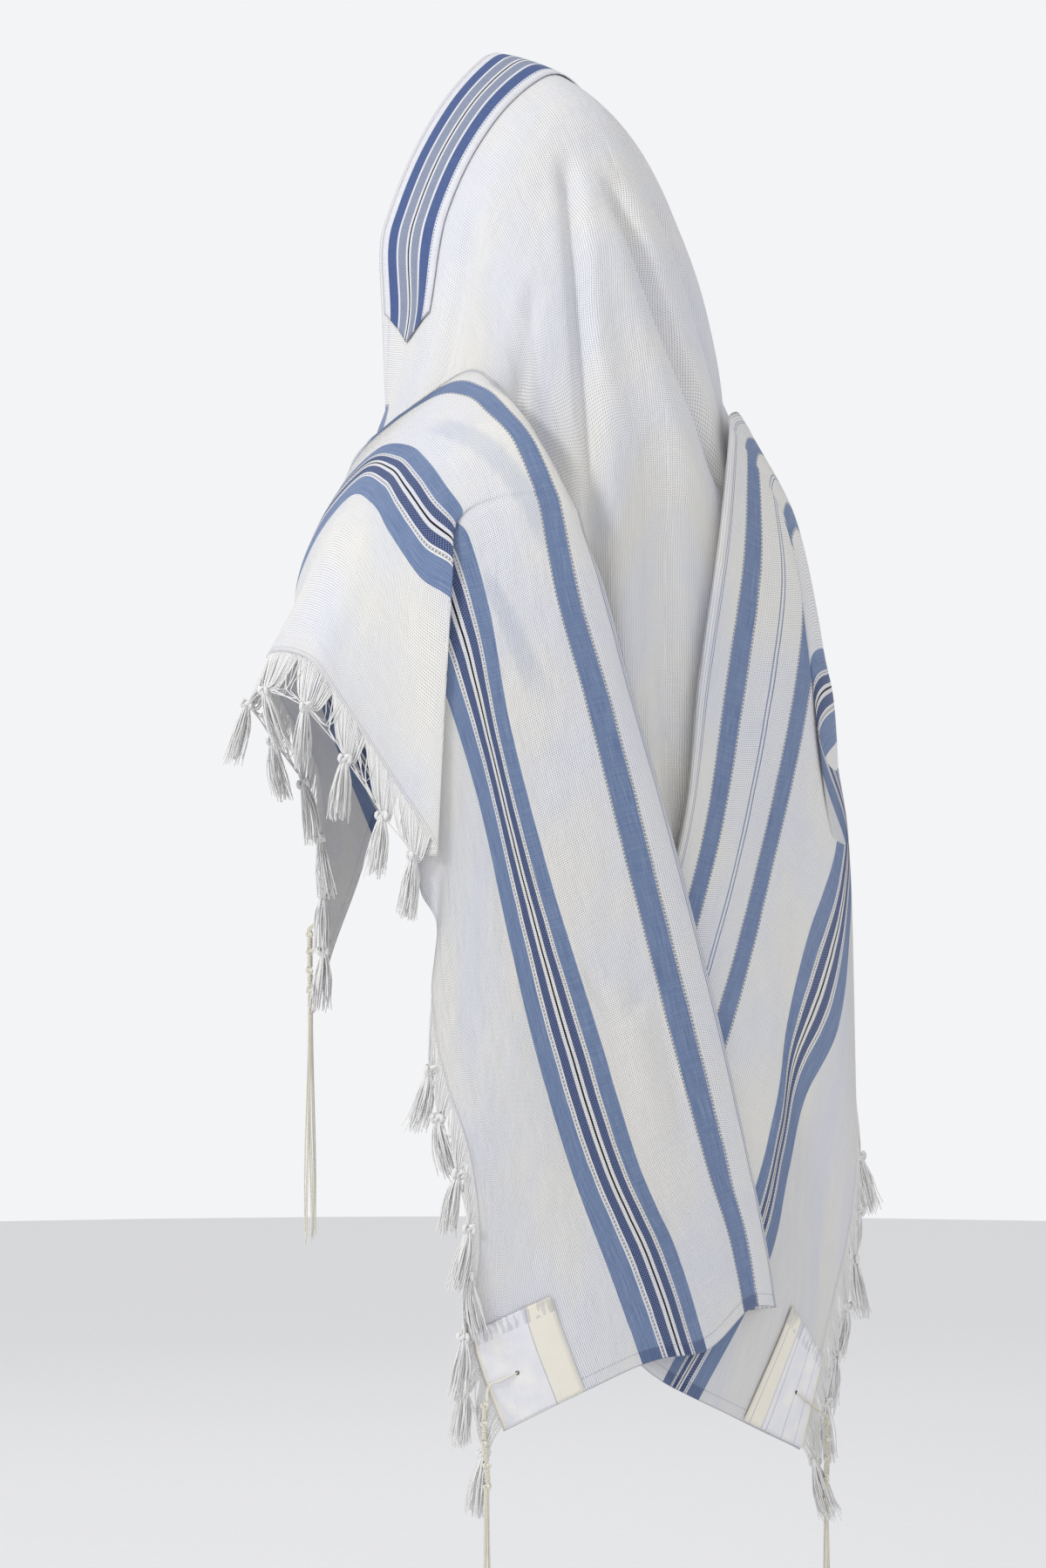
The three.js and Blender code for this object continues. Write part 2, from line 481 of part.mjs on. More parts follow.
// The tassel of each corner: strings from the eyelet over the fringed edge, the wound and knotted
// part, and the free strings below it as one plain cord of their bundle.
for (const corner of CORNERS) {
  const b = rowAt(corner.sheet, 0, corner.from, EYELET_INSET, corner.step);
  const lift = WALL / 2 + PATCH_WALL + SEAM * 2 + CORD / 2 + 2 * FACET;
  const over = [EYELET_INSET, EYELET_INSET / 2, 2].map((mm) => {
    const a = mm / THREAD_GAP;
    return corner.sheet.at(a, b).addScaledVector(normalAt(corner.sheet, a, b, corner.side), lift);
  });
  const out = over[2].clone().sub(over[0]).setZ(0).normalize();
  const normal = normalAt(corner.sheet, 0, b, corner.side);
  const head = over[2].clone().addScaledVector(out, OVER_EDGE).add(new THREE.Vector3(0, 0, -2 * OVER_EDGE));
  head.addScaledVector(normal, CLEAR);
  add(`tassel_${corner.name}_loop`, tube([...over, head], CORD / 2), "yarn");
  const top = head.clone().add(new THREE.Vector3(0, 0, -CORD));
  const below = top.clone().add(new THREE.Vector3(0, 0, -WOUND_LENGTH));
  add(`tassel_${corner.name}_winding`, tube([top, below], WOUND / 2), "yarn");
  const start = below.clone().add(new THREE.Vector3(0, 0, -SEAM));
  const end = start.clone().add(new THREE.Vector3(0, 0, -TAIL_LENGTH));
  add(`tassel_${corner.name}_strings`, tube([start, end], CORD), "yarn");
}

export default tallit;
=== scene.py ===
"""A worn prayer shawl: striped cloth over head and shoulders, neckband, corner patches, fringes, tassels.

The cloth is laid out in its own flat measures, as it comes from the loom: millimetres from the fringed
edge (across the stripes) and millimetres from the top edge (along them).  Every woven detail is set
out in those measures, and the drape only says where each of them hangs.
"""

import logging
import math
from dataclasses import dataclass, field
from enum import Enum
from typing import Any, Callable, Sequence

import bpy
import numpy as np
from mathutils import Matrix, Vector

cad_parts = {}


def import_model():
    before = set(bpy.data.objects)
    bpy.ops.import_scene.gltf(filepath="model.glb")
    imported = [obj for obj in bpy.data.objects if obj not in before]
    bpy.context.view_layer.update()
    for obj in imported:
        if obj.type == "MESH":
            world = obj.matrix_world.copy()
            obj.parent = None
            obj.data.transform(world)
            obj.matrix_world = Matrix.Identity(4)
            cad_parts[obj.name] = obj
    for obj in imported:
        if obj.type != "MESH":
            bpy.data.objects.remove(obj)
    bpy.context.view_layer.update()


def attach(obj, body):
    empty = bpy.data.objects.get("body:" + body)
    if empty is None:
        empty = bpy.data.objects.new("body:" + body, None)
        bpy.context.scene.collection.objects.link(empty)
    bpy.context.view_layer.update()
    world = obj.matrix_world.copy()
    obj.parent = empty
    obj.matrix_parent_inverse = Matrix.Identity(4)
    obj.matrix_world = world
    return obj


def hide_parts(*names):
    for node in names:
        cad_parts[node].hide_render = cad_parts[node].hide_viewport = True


LOG = logging.getLogger("shawl")
MM = 0.001
BODY = "root"
Array = np.ndarray


# ---------------------------------------------------------------------------------------------
# Small number helpers
# ---------------------------------------------------------------------------------------------


def smooth(low: float, high: float, value: Any) -> Any:
    """Eases from 0 to 1 as a value goes from low to high."""
    t = np.clip((np.asarray(value, float) - low) / (high - low), 0, 1)
    return t * t * (3 - 2 * t)


def mix(a: Any, b: Any, share: Any) -> Any:
    """Goes from a to b by a share."""
    return a + (b - a) * share


def unit(vectors: Array) -> Array:
    """Scales each row of an array to length one."""
    return vectors / np.maximum(np.linalg.norm(vectors, axis=-1, keepdims=True), 1e-12)


def spline_weights(at: Array, count: int) -> Array:
    """Catmull-Rom weights of a row of control values.

    Args:
        at: fractional indices into the row.
        count: how many control values the row has.

    Returns:
        One row of weights for each index.
    """
    i = np.clip(np.floor(at).astype(int), 0, count - 2)
    t = at - i
    rise, lead = 3 * t**2 - 2 * t**3, t**3 - 2 * t**2 + t
    trail = t**3 - t**2
    weights = np.zeros((len(at), count))
    row = np.arange(len(at))
    np.add.at(weights, (row, i), 1 - rise - trail / 2)
    np.add.at(weights, (row, i + 1), rise + lead / 2)
    np.add.at(weights, (row, np.maximum(i - 1, 0)), -lead / 2)
    np.add.at(weights, (row, np.minimum(i + 2, count - 1)), trail / 2)
    return weights


# ---------------------------------------------------------------------------------------------
# Shader writing
# ---------------------------------------------------------------------------------------------


class Value:
    """One number in a shader; arithmetic on it adds Math nodes."""

    def __init__(self, shader: "Shader", socket: Any) -> None:
        """Wraps a socket of a shader's node tree."""
        self.shader = shader
        self.socket = socket

    def _with(self, operation: str, *terms: Any) -> "Value":
        """Adds a Math node with the given terms."""
        node = self.shader.node("ShaderNodeMath", {"operation": operation}, dict(enumerate(terms)))
        return Value(self.shader, node.outputs[0])

    def __add__(self, other: Any) -> "Value":
        """Adds."""
        return self._with("ADD", self, other)

    def __sub__(self, other: Any) -> "Value":
        """Subtracts."""
        return self._with("SUBTRACT", self, other)

    def __rsub__(self, other: Any) -> "Value":
        """Subtracts from a number."""
        return self._with("SUBTRACT", other, self)

    def __mul__(self, other: Any) -> "Value":
        """Multiplies."""
        return self._with("MULTIPLY", self, other)

    def __truediv__(self, other: Any) -> "Value":
        """Divides."""
        return self._with("DIVIDE", self, other)

    def __rtruediv__(self, other: Any) -> "Value":
        """Divides a number."""
        return self._with("DIVIDE", other, self)

    def __mod__(self, other: Any) -> "Value":
        """Wraps round."""
        return self._with("FLOORED_MODULO", self, other)

    def __gt__(self, other: Any) -> "Value":
        """Is 1 above the other value."""
        return self._with("GREATER_THAN", self, other)

    def __lt__(self, other: Any) -> "Value":
        """Is 1 below the other value."""
        return self._with("LESS_THAN", self, other)

    __radd__ = __add__
    __rmul__ = __mul__

    def sin(self) -> "Value":
        """Takes the sine."""
        return self._with("SINE", self)

    def most(self, other: Any) -> "Value":
        """Takes the larger value."""
        return self._with("MAXIMUM", self, other)

    def within(self, low: float, high: float) -> "Value":
        """Is 1 between two limits."""
        return (self > low) * (self < high)

    def ease(self, low: float, high: float) -> "Value":
        """Eases from 0 to 1 between two limits."""
        settings = {"interpolation_type": "SMOOTHSTEP"}
        node = self.shader.node("ShaderNodeMapRange", settings, {0: self, 1: low, 2: high, 3: 0.0, 4: 1.0})
        return Value(self.shader, node.outputs[0])

    def wave(self, period: float) -> "Value":
        """Is a sine wave from -1 to 1 with the given period."""
        return (self * (2 * math.pi / period)).sin()


@dataclass(frozen=True)
class Paint:
    """A colour as a painter names it, from 0 to 255 a channel."""

    red: float
    green: float
    blue: float

    def linear(self) -> tuple[float, float, float, float]:
        """Gives the colour as light."""
        light = [c / 255 for c in (self.red, self.green, self.blue)]
        light = [c / 12.92 if c <= 0.04045 else ((c + 0.055) / 1.055) ** 2.4 for c in light]
        return (*light, 1.0)


class Shader:
    """A material being written: one Principled surface and the nodes that feed it."""

    def __init__(self, name: str, sheen: float = 0.0, specular: float = 0.3) -> None:
        """Starts a material.

        Args:
            name: the material's name.
            sheen: weight of the soft glow of loose fibres.
            specular: level of the plain reflection.
        """
        self.material = bpy.data.materials.new(name)
        self.material.use_nodes = True
        self.tree = self.material.node_tree
        self.tree.nodes.clear()
        self.surface = self.node("ShaderNodeBsdfPrincipled", {}, {})
        output = self.node("ShaderNodeOutputMaterial", {}, {})
        self.tree.links.new(self.surface.outputs[0], output.inputs["Surface"])
        self.surface.inputs["Sheen Weight"].default_value = sheen
        self.surface.inputs["Sheen Roughness"].default_value = 0.5
        self.surface.inputs["Specular IOR Level"].default_value = specular

    @classmethod
    def on(cls, tree: Any) -> "Shader":
        """Starts on a node tree that is there already, with no surface of its own."""
        shader = cls.__new__(cls)
        shader.tree = tree
        return shader

    def node(self, kind: str, settings: dict[str, Any], inputs: dict[Any, Any]) -> Any:
        """Adds one node.

        Args:
            kind: the node's type.
            settings: its own settings, which are set first.
            inputs: values or links of its sockets, by name or number.

        Returns:
            The new node.
        """
        node = self.tree.nodes.new(kind)
        for key, setting in settings.items():
            setattr(node, key, setting)
        for key, value in inputs.items():
            socket = node.inputs[key]
            if isinstance(value, Value):
                self.tree.links.new(value.socket, socket)
            elif isinstance(value, Paint):
                socket.default_value = value.linear()
            else:
                socket.default_value = value
        return node

    def measures(self, name: str) -> tuple[Value, Value, Value]:
        """Reads a piece's own flat measures, in mm, from the attribute that holds them."""
        read = self.node("ShaderNodeAttribute", {"attribute_name": name}, {})
        split = self.node("ShaderNodeSeparateXYZ", {}, {0: Value(self, read.outputs["Vector"])})
        x, y, z = (Value(self, out) for out in split.outputs)
        return x, y, z

    def joined(self, x: Any, y: Any, z: Any = 0.0) -> Value:
        """Joins three values into a vector."""
        return Value(self, self.node("ShaderNodeCombineXYZ", {}, {0: x, 1: y, 2: z}).outputs[0])

    def place(self) -> Value:
        """Gives the point of the piece itself, in metres."""
        return Value(self, self.node("ShaderNodeTexCoord", {}, {}).outputs["Object"])

    def noise(self, vector: Value, scale: float, detail: float = 2.0, rough: float = 0.5) -> Value:
        """Gives soft noise from 0 to 1."""
        inputs = {"Vector": vector, "Scale": scale, "Detail": detail, "Roughness": rough}
        return Value(self, self.node("ShaderNodeTexNoise", {}, inputs).outputs[0])

    def blend(self, share: Any, a: Any, b: Any) -> Value:
        """Mixes two colours by a share."""
        node = self.node("ShaderNodeMix", {"data_type": "RGBA"}, {0: share, 6: a, 7: b})
        return Value(self, node.outputs[2])

    def finish(self, colour: Value, roughness: Any, height: Value) -> bpy.types.Material:
        """Joins the colour, the roughness and a height in millimetres to the surface."""
        bump = self.node("ShaderNodeBump", {}, {"Height": height, "Distance": MM, "Strength": 1.0})
        links = {"Base Color": colour, "Roughness": roughness, "Normal": Value(self, bump.outputs[0])}
        for key, value in links.items():
            if isinstance(value, Value):
                self.tree.links.new(value.socket, self.surface.inputs[key])
            else:
                self.surface.inputs[key].default_value = value
        return self.material


# ---------------------------------------------------------------------------------------------
# Colours and finishes
# ---------------------------------------------------------------------------------------------

WARM_WHITE = Paint(249, 247, 241)
COOL_WHITE = Paint(240, 241, 247)
THREAD_GAP = Paint(138, 140, 160)
CHAMBRAY = Paint(103, 124, 164)
CHAMBRAY_PALE = Paint(146, 163, 194)
NAVY = Paint(50, 66, 112)
NAVY_DOT = Paint(138, 152, 186)
INK = Paint(22, 24, 44)
SILVER = Paint(142, 142, 146)
CREAM = Paint(245, 239, 222)
SATIN_WHITE = Paint(236, 236, 242)
BAND_BLUE = Paint(58, 83, 140)
BAND_BLUE_PALE = Paint(84, 107, 158)
BAND_GREY = Paint(122, 133, 162)
BAND_GREY_PALE = Paint(196, 201, 214)
STRING_WHITE = Paint(243, 239, 226)
STRING_SHADE = Paint(214, 208, 190)
YARN_WHITE = Paint(250, 249, 246)
YARN_SHADE = Paint(222, 222, 228)


class Weave(Enum):
    """How the threads of one stripe are woven."""

    CHAMBRAY = "blue warp with a white weft"
    DOBBY = "navy with rows of pale dots"
    INK = "solid black"
    DASHED = "a silver thread that comes up in dashes"
    HAIRLINE = "one fine grey-blue line"


@dataclass(frozen=True)
class Stripe:
    """One woven stripe, in mm from the fringed edge, repeated if it has a period."""

    start: float
    width: float
    weave: Weave
    repeats: int = 1
    period: float = 76.0


STRIPES = (
    Stripe(155, 16, Weave.CHAMBRAY),
    Stripe(172.6, 1.5, Weave.DASHED),
    Stripe(176, 9, Weave.DOBBY),
    Stripe(189, 2.2, Weave.INK),
    Stripe(195, 9, Weave.DOBBY),
    Stripe(205.9, 1.5, Weave.DASHED),
    Stripe(209, 16, Weave.CHAMBRAY),
    Stripe(300, 20, Weave.CHAMBRAY, 4),
    Stripe(298.2, 1.6, Weave.DASHED, 4),
    Stripe(320.2, 1.6, Weave.DASHED, 4),
    Stripe(345.4, 1.2, Weave.HAIRLINE, 3),
    Stripe(349.4, 1.2, Weave.HAIRLINE, 3),
)


@dataclass(frozen=True)
class WovenCloth:
    """The shawl's wool: a white basket weave with blue, navy and black stripes woven in."""

    pitch: float = 1.9  # mm from one group of threads to the next
    hem: float = 12.0  # the rolled hem along the top and bottom edges

    def _stripe(self, s: Value, stripe: Stripe) -> Value:
        """Is 1 on one stripe."""
        if stripe.repeats == 1:
            return s.within(stripe.start, stripe.start + stripe.width)
        ends = stripe.start - 4, stripe.start + stripe.period * (stripe.repeats - 0.5)
        return ((s - stripe.start) % stripe.period < stripe.width) * s.within(*ends)

    def material(self) -> bpy.types.Material:
        """Writes the cloth's material.

        Returns:
            The material; it reads the attribute `cloth` (mm from the fringed edge, mm along the
            threads, mm from the nearest hem) and `under` (how much of a band shows from below).
        """
        sh = Shader("woven_wool", sheen=0.18, specular=0.2)
        s, v, hem = sh.measures("cloth")
        under = Value(sh, sh.node("ShaderNodeAttribute", {"attribute_name": "under"}, {}).outputs["Fac"])
        flat = sh.joined(s, v)
        drift = sh.noise(flat, 0.03) - 0.5
        s_drift = s + drift * 1.4
        warp = sh.noise(sh.joined(s * 1.1, v * 0.03), 1.0)
        weft = sh.noise(sh.joined(s * 0.03, v * 1.1), 1.0)
        across, along = (0.5 - (way + drift * 2.0).wave(self.pitch) * 0.5 for way in (s, v))
        cell = across * along
        hole = cell * cell
        tone = sh.noise(flat, 0.007, 3.0)
        white = sh.blend(tone.ease(0.35, 0.65), WARM_WHITE, COOL_WHITE)
        grain = warp * 0.5 + weft * 0.5
        white = sh.blend(hole * 0.8 + (0.62 - grain) * 0.4, white, THREAD_GAP)
        colour = sh.blend(under * 0.24, white, CHAMBRAY_PALE)
        slub = (warp - 0.5) * 1.5 + (weft - 0.5) * 0.9
        chambray = sh.blend(slub + 0.32 + hole * 0.25, CHAMBRAY, CHAMBRAY_PALE)
        dot = (s.wave(3.0) * v.wave(2.8) > 0.35) * 0.75 + weft * 0.15
        dobby = sh.blend(dot, NAVY, NAVY_DOT)
        dash = (v % 3.6 < 2.3) * 0.8 + 0.1
        threads = {
            Weave.CHAMBRAY: (1.0, chambray),
            Weave.DOBBY: (1.0, dobby),
            Weave.INK: (1.0, INK),
            Weave.DASHED: (dash, SILVER),
            Weave.HAIRLINE: (0.85, CHAMBRAY),
        }
        coloured: Value | None = None
        for stripe in STRIPES:
            on = self._stripe(s_drift, stripe)
            share, thread = threads[stripe.weave]
            colour = sh.blend(on * share, colour, thread)
            coloured = on if coloured is None else coloured.most(on)
        rolled = hem < self.hem
        colour = sh.blend(rolled * coloured * 0.45, colour, NAVY)
        stitch = hem.within(self.hem - 1.2, self.hem - 0.2) * (s % 4.0 < 2.8)
        colour = sh.blend(stitch * 0.35 + hem.within(-1, 0.9) * 0.35, colour, THREAD_GAP)
        selvedge = s < 7
        knit = s.within(7, 8.4) * 0.4 + selvedge * hole
        colour = sh.blend(knit * 0.6, colour, THREAD_GAP)
        crease = sh.noise(sh.joined(s * 0.7, v * 0.25), 0.09, 3.0, 0.55)
        height = (0.5 - hole) * 0.55 + grain * 0.45 + crease * 2.6 - stitch * 0.5
        height = height + rolled * 0.5 + selvedge * 0.25 - coloured * 0.05
        rough = 0.9 - coloured * 0.12
        return sh.finish(colour, rough, height)


@dataclass(frozen=True)
class BandStripe:
    """One stripe of the neckband, in mm from its front edge."""

    start: float
    width: float
    weave: Weave


BAND_STRIPES = (
    BandStripe(10.5, 14.5, Weave.CHAMBRAY),
    BandStripe(28, 13, Weave.DOBBY),
    BandStripe(44.2, 2.4, Weave.INK),
    BandStripe(49.6, 12.4, Weave.DOBBY),
    BandStripe(65.4, 16, Weave.CHAMBRAY),
)


@dataclass(frozen=True)
class NeckbandWeave:
    """The neckband's close weave, striped lengthwise, with a raised border."""

    width: float = 94.0

    def material(self) -> bpy.types.Material:
        """Writes the neckband's material; its attribute `band` holds mm across, along and from the end."""
        sh = Shader("neckband_weave", sheen=0.1, specular=0.35)
        t, w, end = sh.measures("band")
        long = sh.noise(sh.joined(t * 1.6, w * 0.05), 1.0)
        cross = sh.noise(sh.joined(t * 0.05, w * 1.3), 1.0)
        twill = ((t + w * 0.9) % 1.7 < 0.75) * ((w - t * 0.4) % 2.3 < 1.5)
        blue = sh.blend((cross - 0.5) * 1.6 + (long - 0.5) + 0.35, BAND_BLUE, BAND_BLUE_PALE)
        grey = sh.blend(twill * 0.8 + (cross - 0.5) * 0.6, BAND_GREY, BAND_GREY_PALE)
        colour = sh.blend((cross * 0.5 + long * 0.5).ease(0.35, 0.7), COOL_WHITE, Paint(226, 226, 232))
        threads = {Weave.CHAMBRAY: blue, Weave.DOBBY: grey, Weave.INK: INK}
        solid: Value | None = None
        for stripe in BAND_STRIPES:
            on = t.within(stripe.start, stripe.start + stripe.width)
            colour = sh.blend(on, colour, threads[stripe.weave])
            solid = on if solid is None else solid.most(on)
        dashes = t.within(82.6, 83.9) * (w % 3.2 < 2.0)
        colour = sh.blend(dashes * 0.8, colour, BAND_BLUE)
        seam = (end < 1.1).most(t < 0.9)
        colour = sh.blend(seam * 0.5, colour, THREAD_GAP)
        sewn = (end.within(1.6, 2.4) + t.within(1.8, 2.5) + t.within(90.6, 91.3)) * (w % 3.0 < 2.1)
        height = twill * 0.25 + cross * 0.3 + long * 0.3 - sewn * 0.5 + solid * 0.1
        return sh.finish(colour, 0.72 - solid * 0.08, height)


@dataclass(frozen=True)
class PatchSatin:
    """The smooth satin of the corner patches, with cream strips where it is double."""

    strip_from: float = 66.0
    sheer: float = 0.0

    def material(self, name: str) -> bpy.types.Material:
        """Writes the satin of one patch; its attribute `patch` holds mm from both edges."""
        sh = Shader(name, sheen=0.05, specular=0.45)
        x, y, edge = sh.measures("patch")
        fine = sh.noise(sh.joined(x * 2.2, y * 0.08), 1.0)
        weft = sh.noise(sh.joined(x * 0.08, y * 2.2), 1.0)
        cloudy = sh.noise(sh.joined(x, y), 0.045, 3.0)
        colour = sh.blend(cloudy.ease(0.35, 0.7), SATIN_WHITE, Paint(247, 246, 244))
        strip = (x > self.strip_from).most(x < 7) * 0.85
        colour = sh.blend(strip, colour, CREAM)
        seams = (x % 21.0 < 1.1) * self.sheer + x.within(self.strip_from - 1, self.strip_from)
        colour = sh.blend(seams * 0.45, colour, THREAD_GAP)
        blocks = (y > 78) * (sh.noise(sh.joined(x * 0.35, y * 0.1), 0.5) > 0.5)
        colour = sh.blend(blocks * 0.3 + (fine - 0.5) * 0.4, colour, THREAD_GAP)
        sewn = edge.within(2.2, 3.0) * ((x + y) % 3.4 < 2.4)
        height = fine * 0.12 + weft * 0.12 - sewn * 0.4 + strip * 0.3 + cloudy * 1.2
        return sh.finish(colour, 0.55 + weft * 0.15, height)


@dataclass(frozen=True)
class TwistedYarn:
    """Plied white yarn; the lay of the plies runs round each strand, with painted shade in the grooves
    between the plies.
    """

    name: str
    light: Paint
    shade: Paint
    lay: float  # mm from one ply to the next

    def material(self) -> bpy.types.Material:
        """Writes the yarn's material from the piece's own coordinates."""
        sh = Shader(self.name, sheen=0.25, specular=0.15)
        place = sh.place()
        split = sh.node("ShaderNodeSeparateXYZ", {}, {0: place})
        x, y, z = (Value(sh, out) for out in split.outputs)
        ply = ((z + (x + y) * 0.6) / MM).wave(self.lay) * 0.5 + 0.5
        fuzz = sh.noise(place, 900.0, 2.0)
        patch = sh.noise(place, 45.0, 2.0)
        # Painted shade: the grooves between the plies are darkened towards the shade colour; the fuzz and
        # patch noise vary the tone at random.
        share = (1 - ply) * 0.45 + (fuzz - 0.5) * 0.5 + (patch - 0.5) * 0.5
        return sh.finish(sh.blend(share, self.light, self.shade), 0.92, ply * 0.2 + fuzz * 0.25)


@dataclass(frozen=True)
class EyeletThreadAndHoleShade:
    """The dark thread that an eyelet is worked with; it also fills the eyelet's hole as painted shade."""

    def material(self) -> bpy.types.Material:
        """Writes the thread's material."""
        sh = Shader("eyelet_thread_and_hole_shade", specular=0.3)
        fuzz = sh.noise(sh.place(), 1500.0)
        colour = sh.blend(fuzz, Paint(20, 20, 24), Paint(58, 56, 60))
        return sh.finish(colour, 0.8, fuzz * 0.2)


@dataclass(frozen=True)
class StudioFloor:
    """The plain pale floor."""

    def material(self) -> bpy.types.Material:
        """Writes the floor's material."""
        sh = Shader("studio_floor", specular=0.1)
        grain = sh.noise(sh.place(), 60.0)
        colour = sh.blend(grain, Paint(243, 243, 244), Paint(247, 247, 248))
        return sh.finish(colour, 0.9, grain * 0.05)


# ---------------------------------------------------------------------------------------------
# The drape: where the cloth hangs, in mm with the crown of the head at the origin
# ---------------------------------------------------------------------------------------------

LAYER = 7.0  # from the middle of one layer of cloth to the middle of the next
WALL = 2.0  # room that one layer of cloth takes
SEAM = 0.3
FACET = 1.3
LEVELS = (  # drop, half width, depth behind and before, how far back the centre is, left arm
    (200, 134, 138, 140, 10, 0),
    (255, 150, 150, 144, 12, 0),
    (285, 160, 154, 148, 14, 0),
    (310, 170, 157, 150, 16, 0),
    (330, 186, 160, 150, 18, 0),
    (350, 204, 162, 150, 20, -4),
    (385, 232, 163, 150, 20, -16),
    (440, 262, 164, 150, 20, -10),
    (500, 286, 165, 152, 20, 2),
    (550, 300, 165, 154, 20, 5),
    (600, 306, 166, 156, 20, -26),
    (650, 311, 167, 156, 20, -58),
    (800, 314, 168, 156, 20, -67),
    (1000, 315, 170, 156, 20, -56),
    (1280, 317, 172, 156, 20, -30),
)


@dataclass(frozen=True)
class Figure:
    """The general figure that the cloth hangs on; nothing of it shows."""

    levels: tuple[tuple[float, ...], ...] = LEVELS
    arm_at: float = 112.0
    arm_spread: float = 38.0

    def measure(self, index: int, drop: Any) -> Any:
        """Reads one measure of the figure at a drop below the crown."""
        table = np.array(self.levels, float)
        return np.interp(drop, table[:, 0], table[:, index])

    def point(self, turn: Any, drop: Any, out: Any = 0.0) -> Array:
        """Finds a point on or off the figure.

        Args:
            turn: degrees round from the back towards the wearer's left.
            drop: mm below the crown.
            out: mm off the figure.

        Returns:
            The point, or one point for each given value.
        """
        turn, drop, out = np.broadcast_arrays(*(np.asarray(x, float) for x in (turn, drop, out)))
        s, c = np.sin(np.radians(turn)), np.cos(np.radians(turn))
        depth = np.where(c > 0, self.measure(2, drop), self.measure(3, drop))
        bulge = self.measure(5, drop) * np.exp(-(((turn - self.arm_at) / self.arm_spread) ** 2))
        r = 1 / np.hypot(s / self.measure(1, drop), c / depth) + bulge + out
        return np.stack([r * s, self.measure(4, drop) + r * c, -drop], axis=-1)


FIGURE = Figure()


@dataclass(frozen=True)
class Crease:
    """A soft fold in a cloth's own flat measures, from one place to another."""

    start: tuple[float, float]
    end: tuple[float, float]
    deep: float  # mm; below zero it is a ridge
    wide: float
    fade: float = 60.0

    def depth(self, s: Array, v: Array) -> Array:
        """Gives how deep the fold is at each place of the cloth."""
        a, b = np.array(self.start), np.array(self.end)
        run = b - a
        length = float(np.hypot(*run))
        along = ((s - a[0]) * run[0] + (v - a[1]) * run[1]) / length
        aside = ((s - a[0]) * run[1] - (v - a[1]) * run[0]) / length
        begin, stop = (smooth(-self.fade * 0.3, self.fade, way) for way in (along, length - along))
        ends = begin * stop
        return self.deep * ends * np.exp(-((aside / self.wide) ** 2))


class Drape:
    """A smooth surface through rows of points; places on it count in columns and rows."""

    def __init__(self, grid: Array, side: float) -> None:
        """Takes the points, row by row, and which way the outside is."""
        self.grid = grid
        self.side = side
        self.along = grid.shape[0] - 1
        self.across = grid.shape[1] - 1

    def at(self, a: Any, b: Any) -> Array:
        """Gives the points at columns a and rows b."""
        a, b = np.broadcast_arrays(np.asarray(a, float), np.asarray(b, float))
        rows = spline_weights(b.ravel(), self.along + 1)
        columns = spline_weights(a.ravel(), self.across + 1)
        found = np.einsum("nr,rck,nc->nk", rows, self.grid, columns, optimize=True)
        return found.reshape(*a.shape, 3)

    def normal(self, a: Any, b: Any) -> Array:
        """Gives the directions out of the cloth at columns a and rows b."""
        step = 0.02
        a = np.clip(np.asarray(a, float), step, self.across - step)
        b = np.clip(np.asarray(b, float), step, self.along - step)
        du = self.at(a + step, b) - self.at(a - step, b)
        dv = self.at(a, b + step) - self.at(a, b - step)
        return unit(np.cross(du, dv)) * self.side

    def row_at(self, a: float, start: float, distance: float, step: int = 1) -> float:
        """Finds the row that lies a distance in mm from another along one column."""
        rows = start + step * np.linspace(0, min(3.5, self.along), 281)
        rows = np.clip(rows, 0, self.along)
        line = self.at(np.full_like(rows, a), rows)
        gone = np.concatenate([[0], np.cumsum(np.linalg.norm(np.diff(line, axis=0), axis=1))])
        return float(np.interp(distance, gone, rows))


@dataclass
class Sheet:
    """A sampled piece of cloth: its points and its flat measures."""

    points: Array
    s: Array
    v: Array


def lengths_down(points: Array) -> Array:
    """Adds up the cloth's length down each column of a grid of points."""
    steps = np.linalg.norm(np.diff(points, axis=0), axis=2)
    return np.vstack([np.zeros(points.shape[1]), np.cumsum(steps, axis=0)])


@dataclass(frozen=True)
class Row:
    """One line across a side of the cloth: each thread as degrees round and drop."""

    fringe: tuple[float, float]
    outer: tuple[float, float]
    inner: tuple[float, float]
    band: tuple[float, float]
    fold: tuple[float, float]
    hidden: tuple[float, float]
    tuck: float = 1.0
    lift: float = 0.0


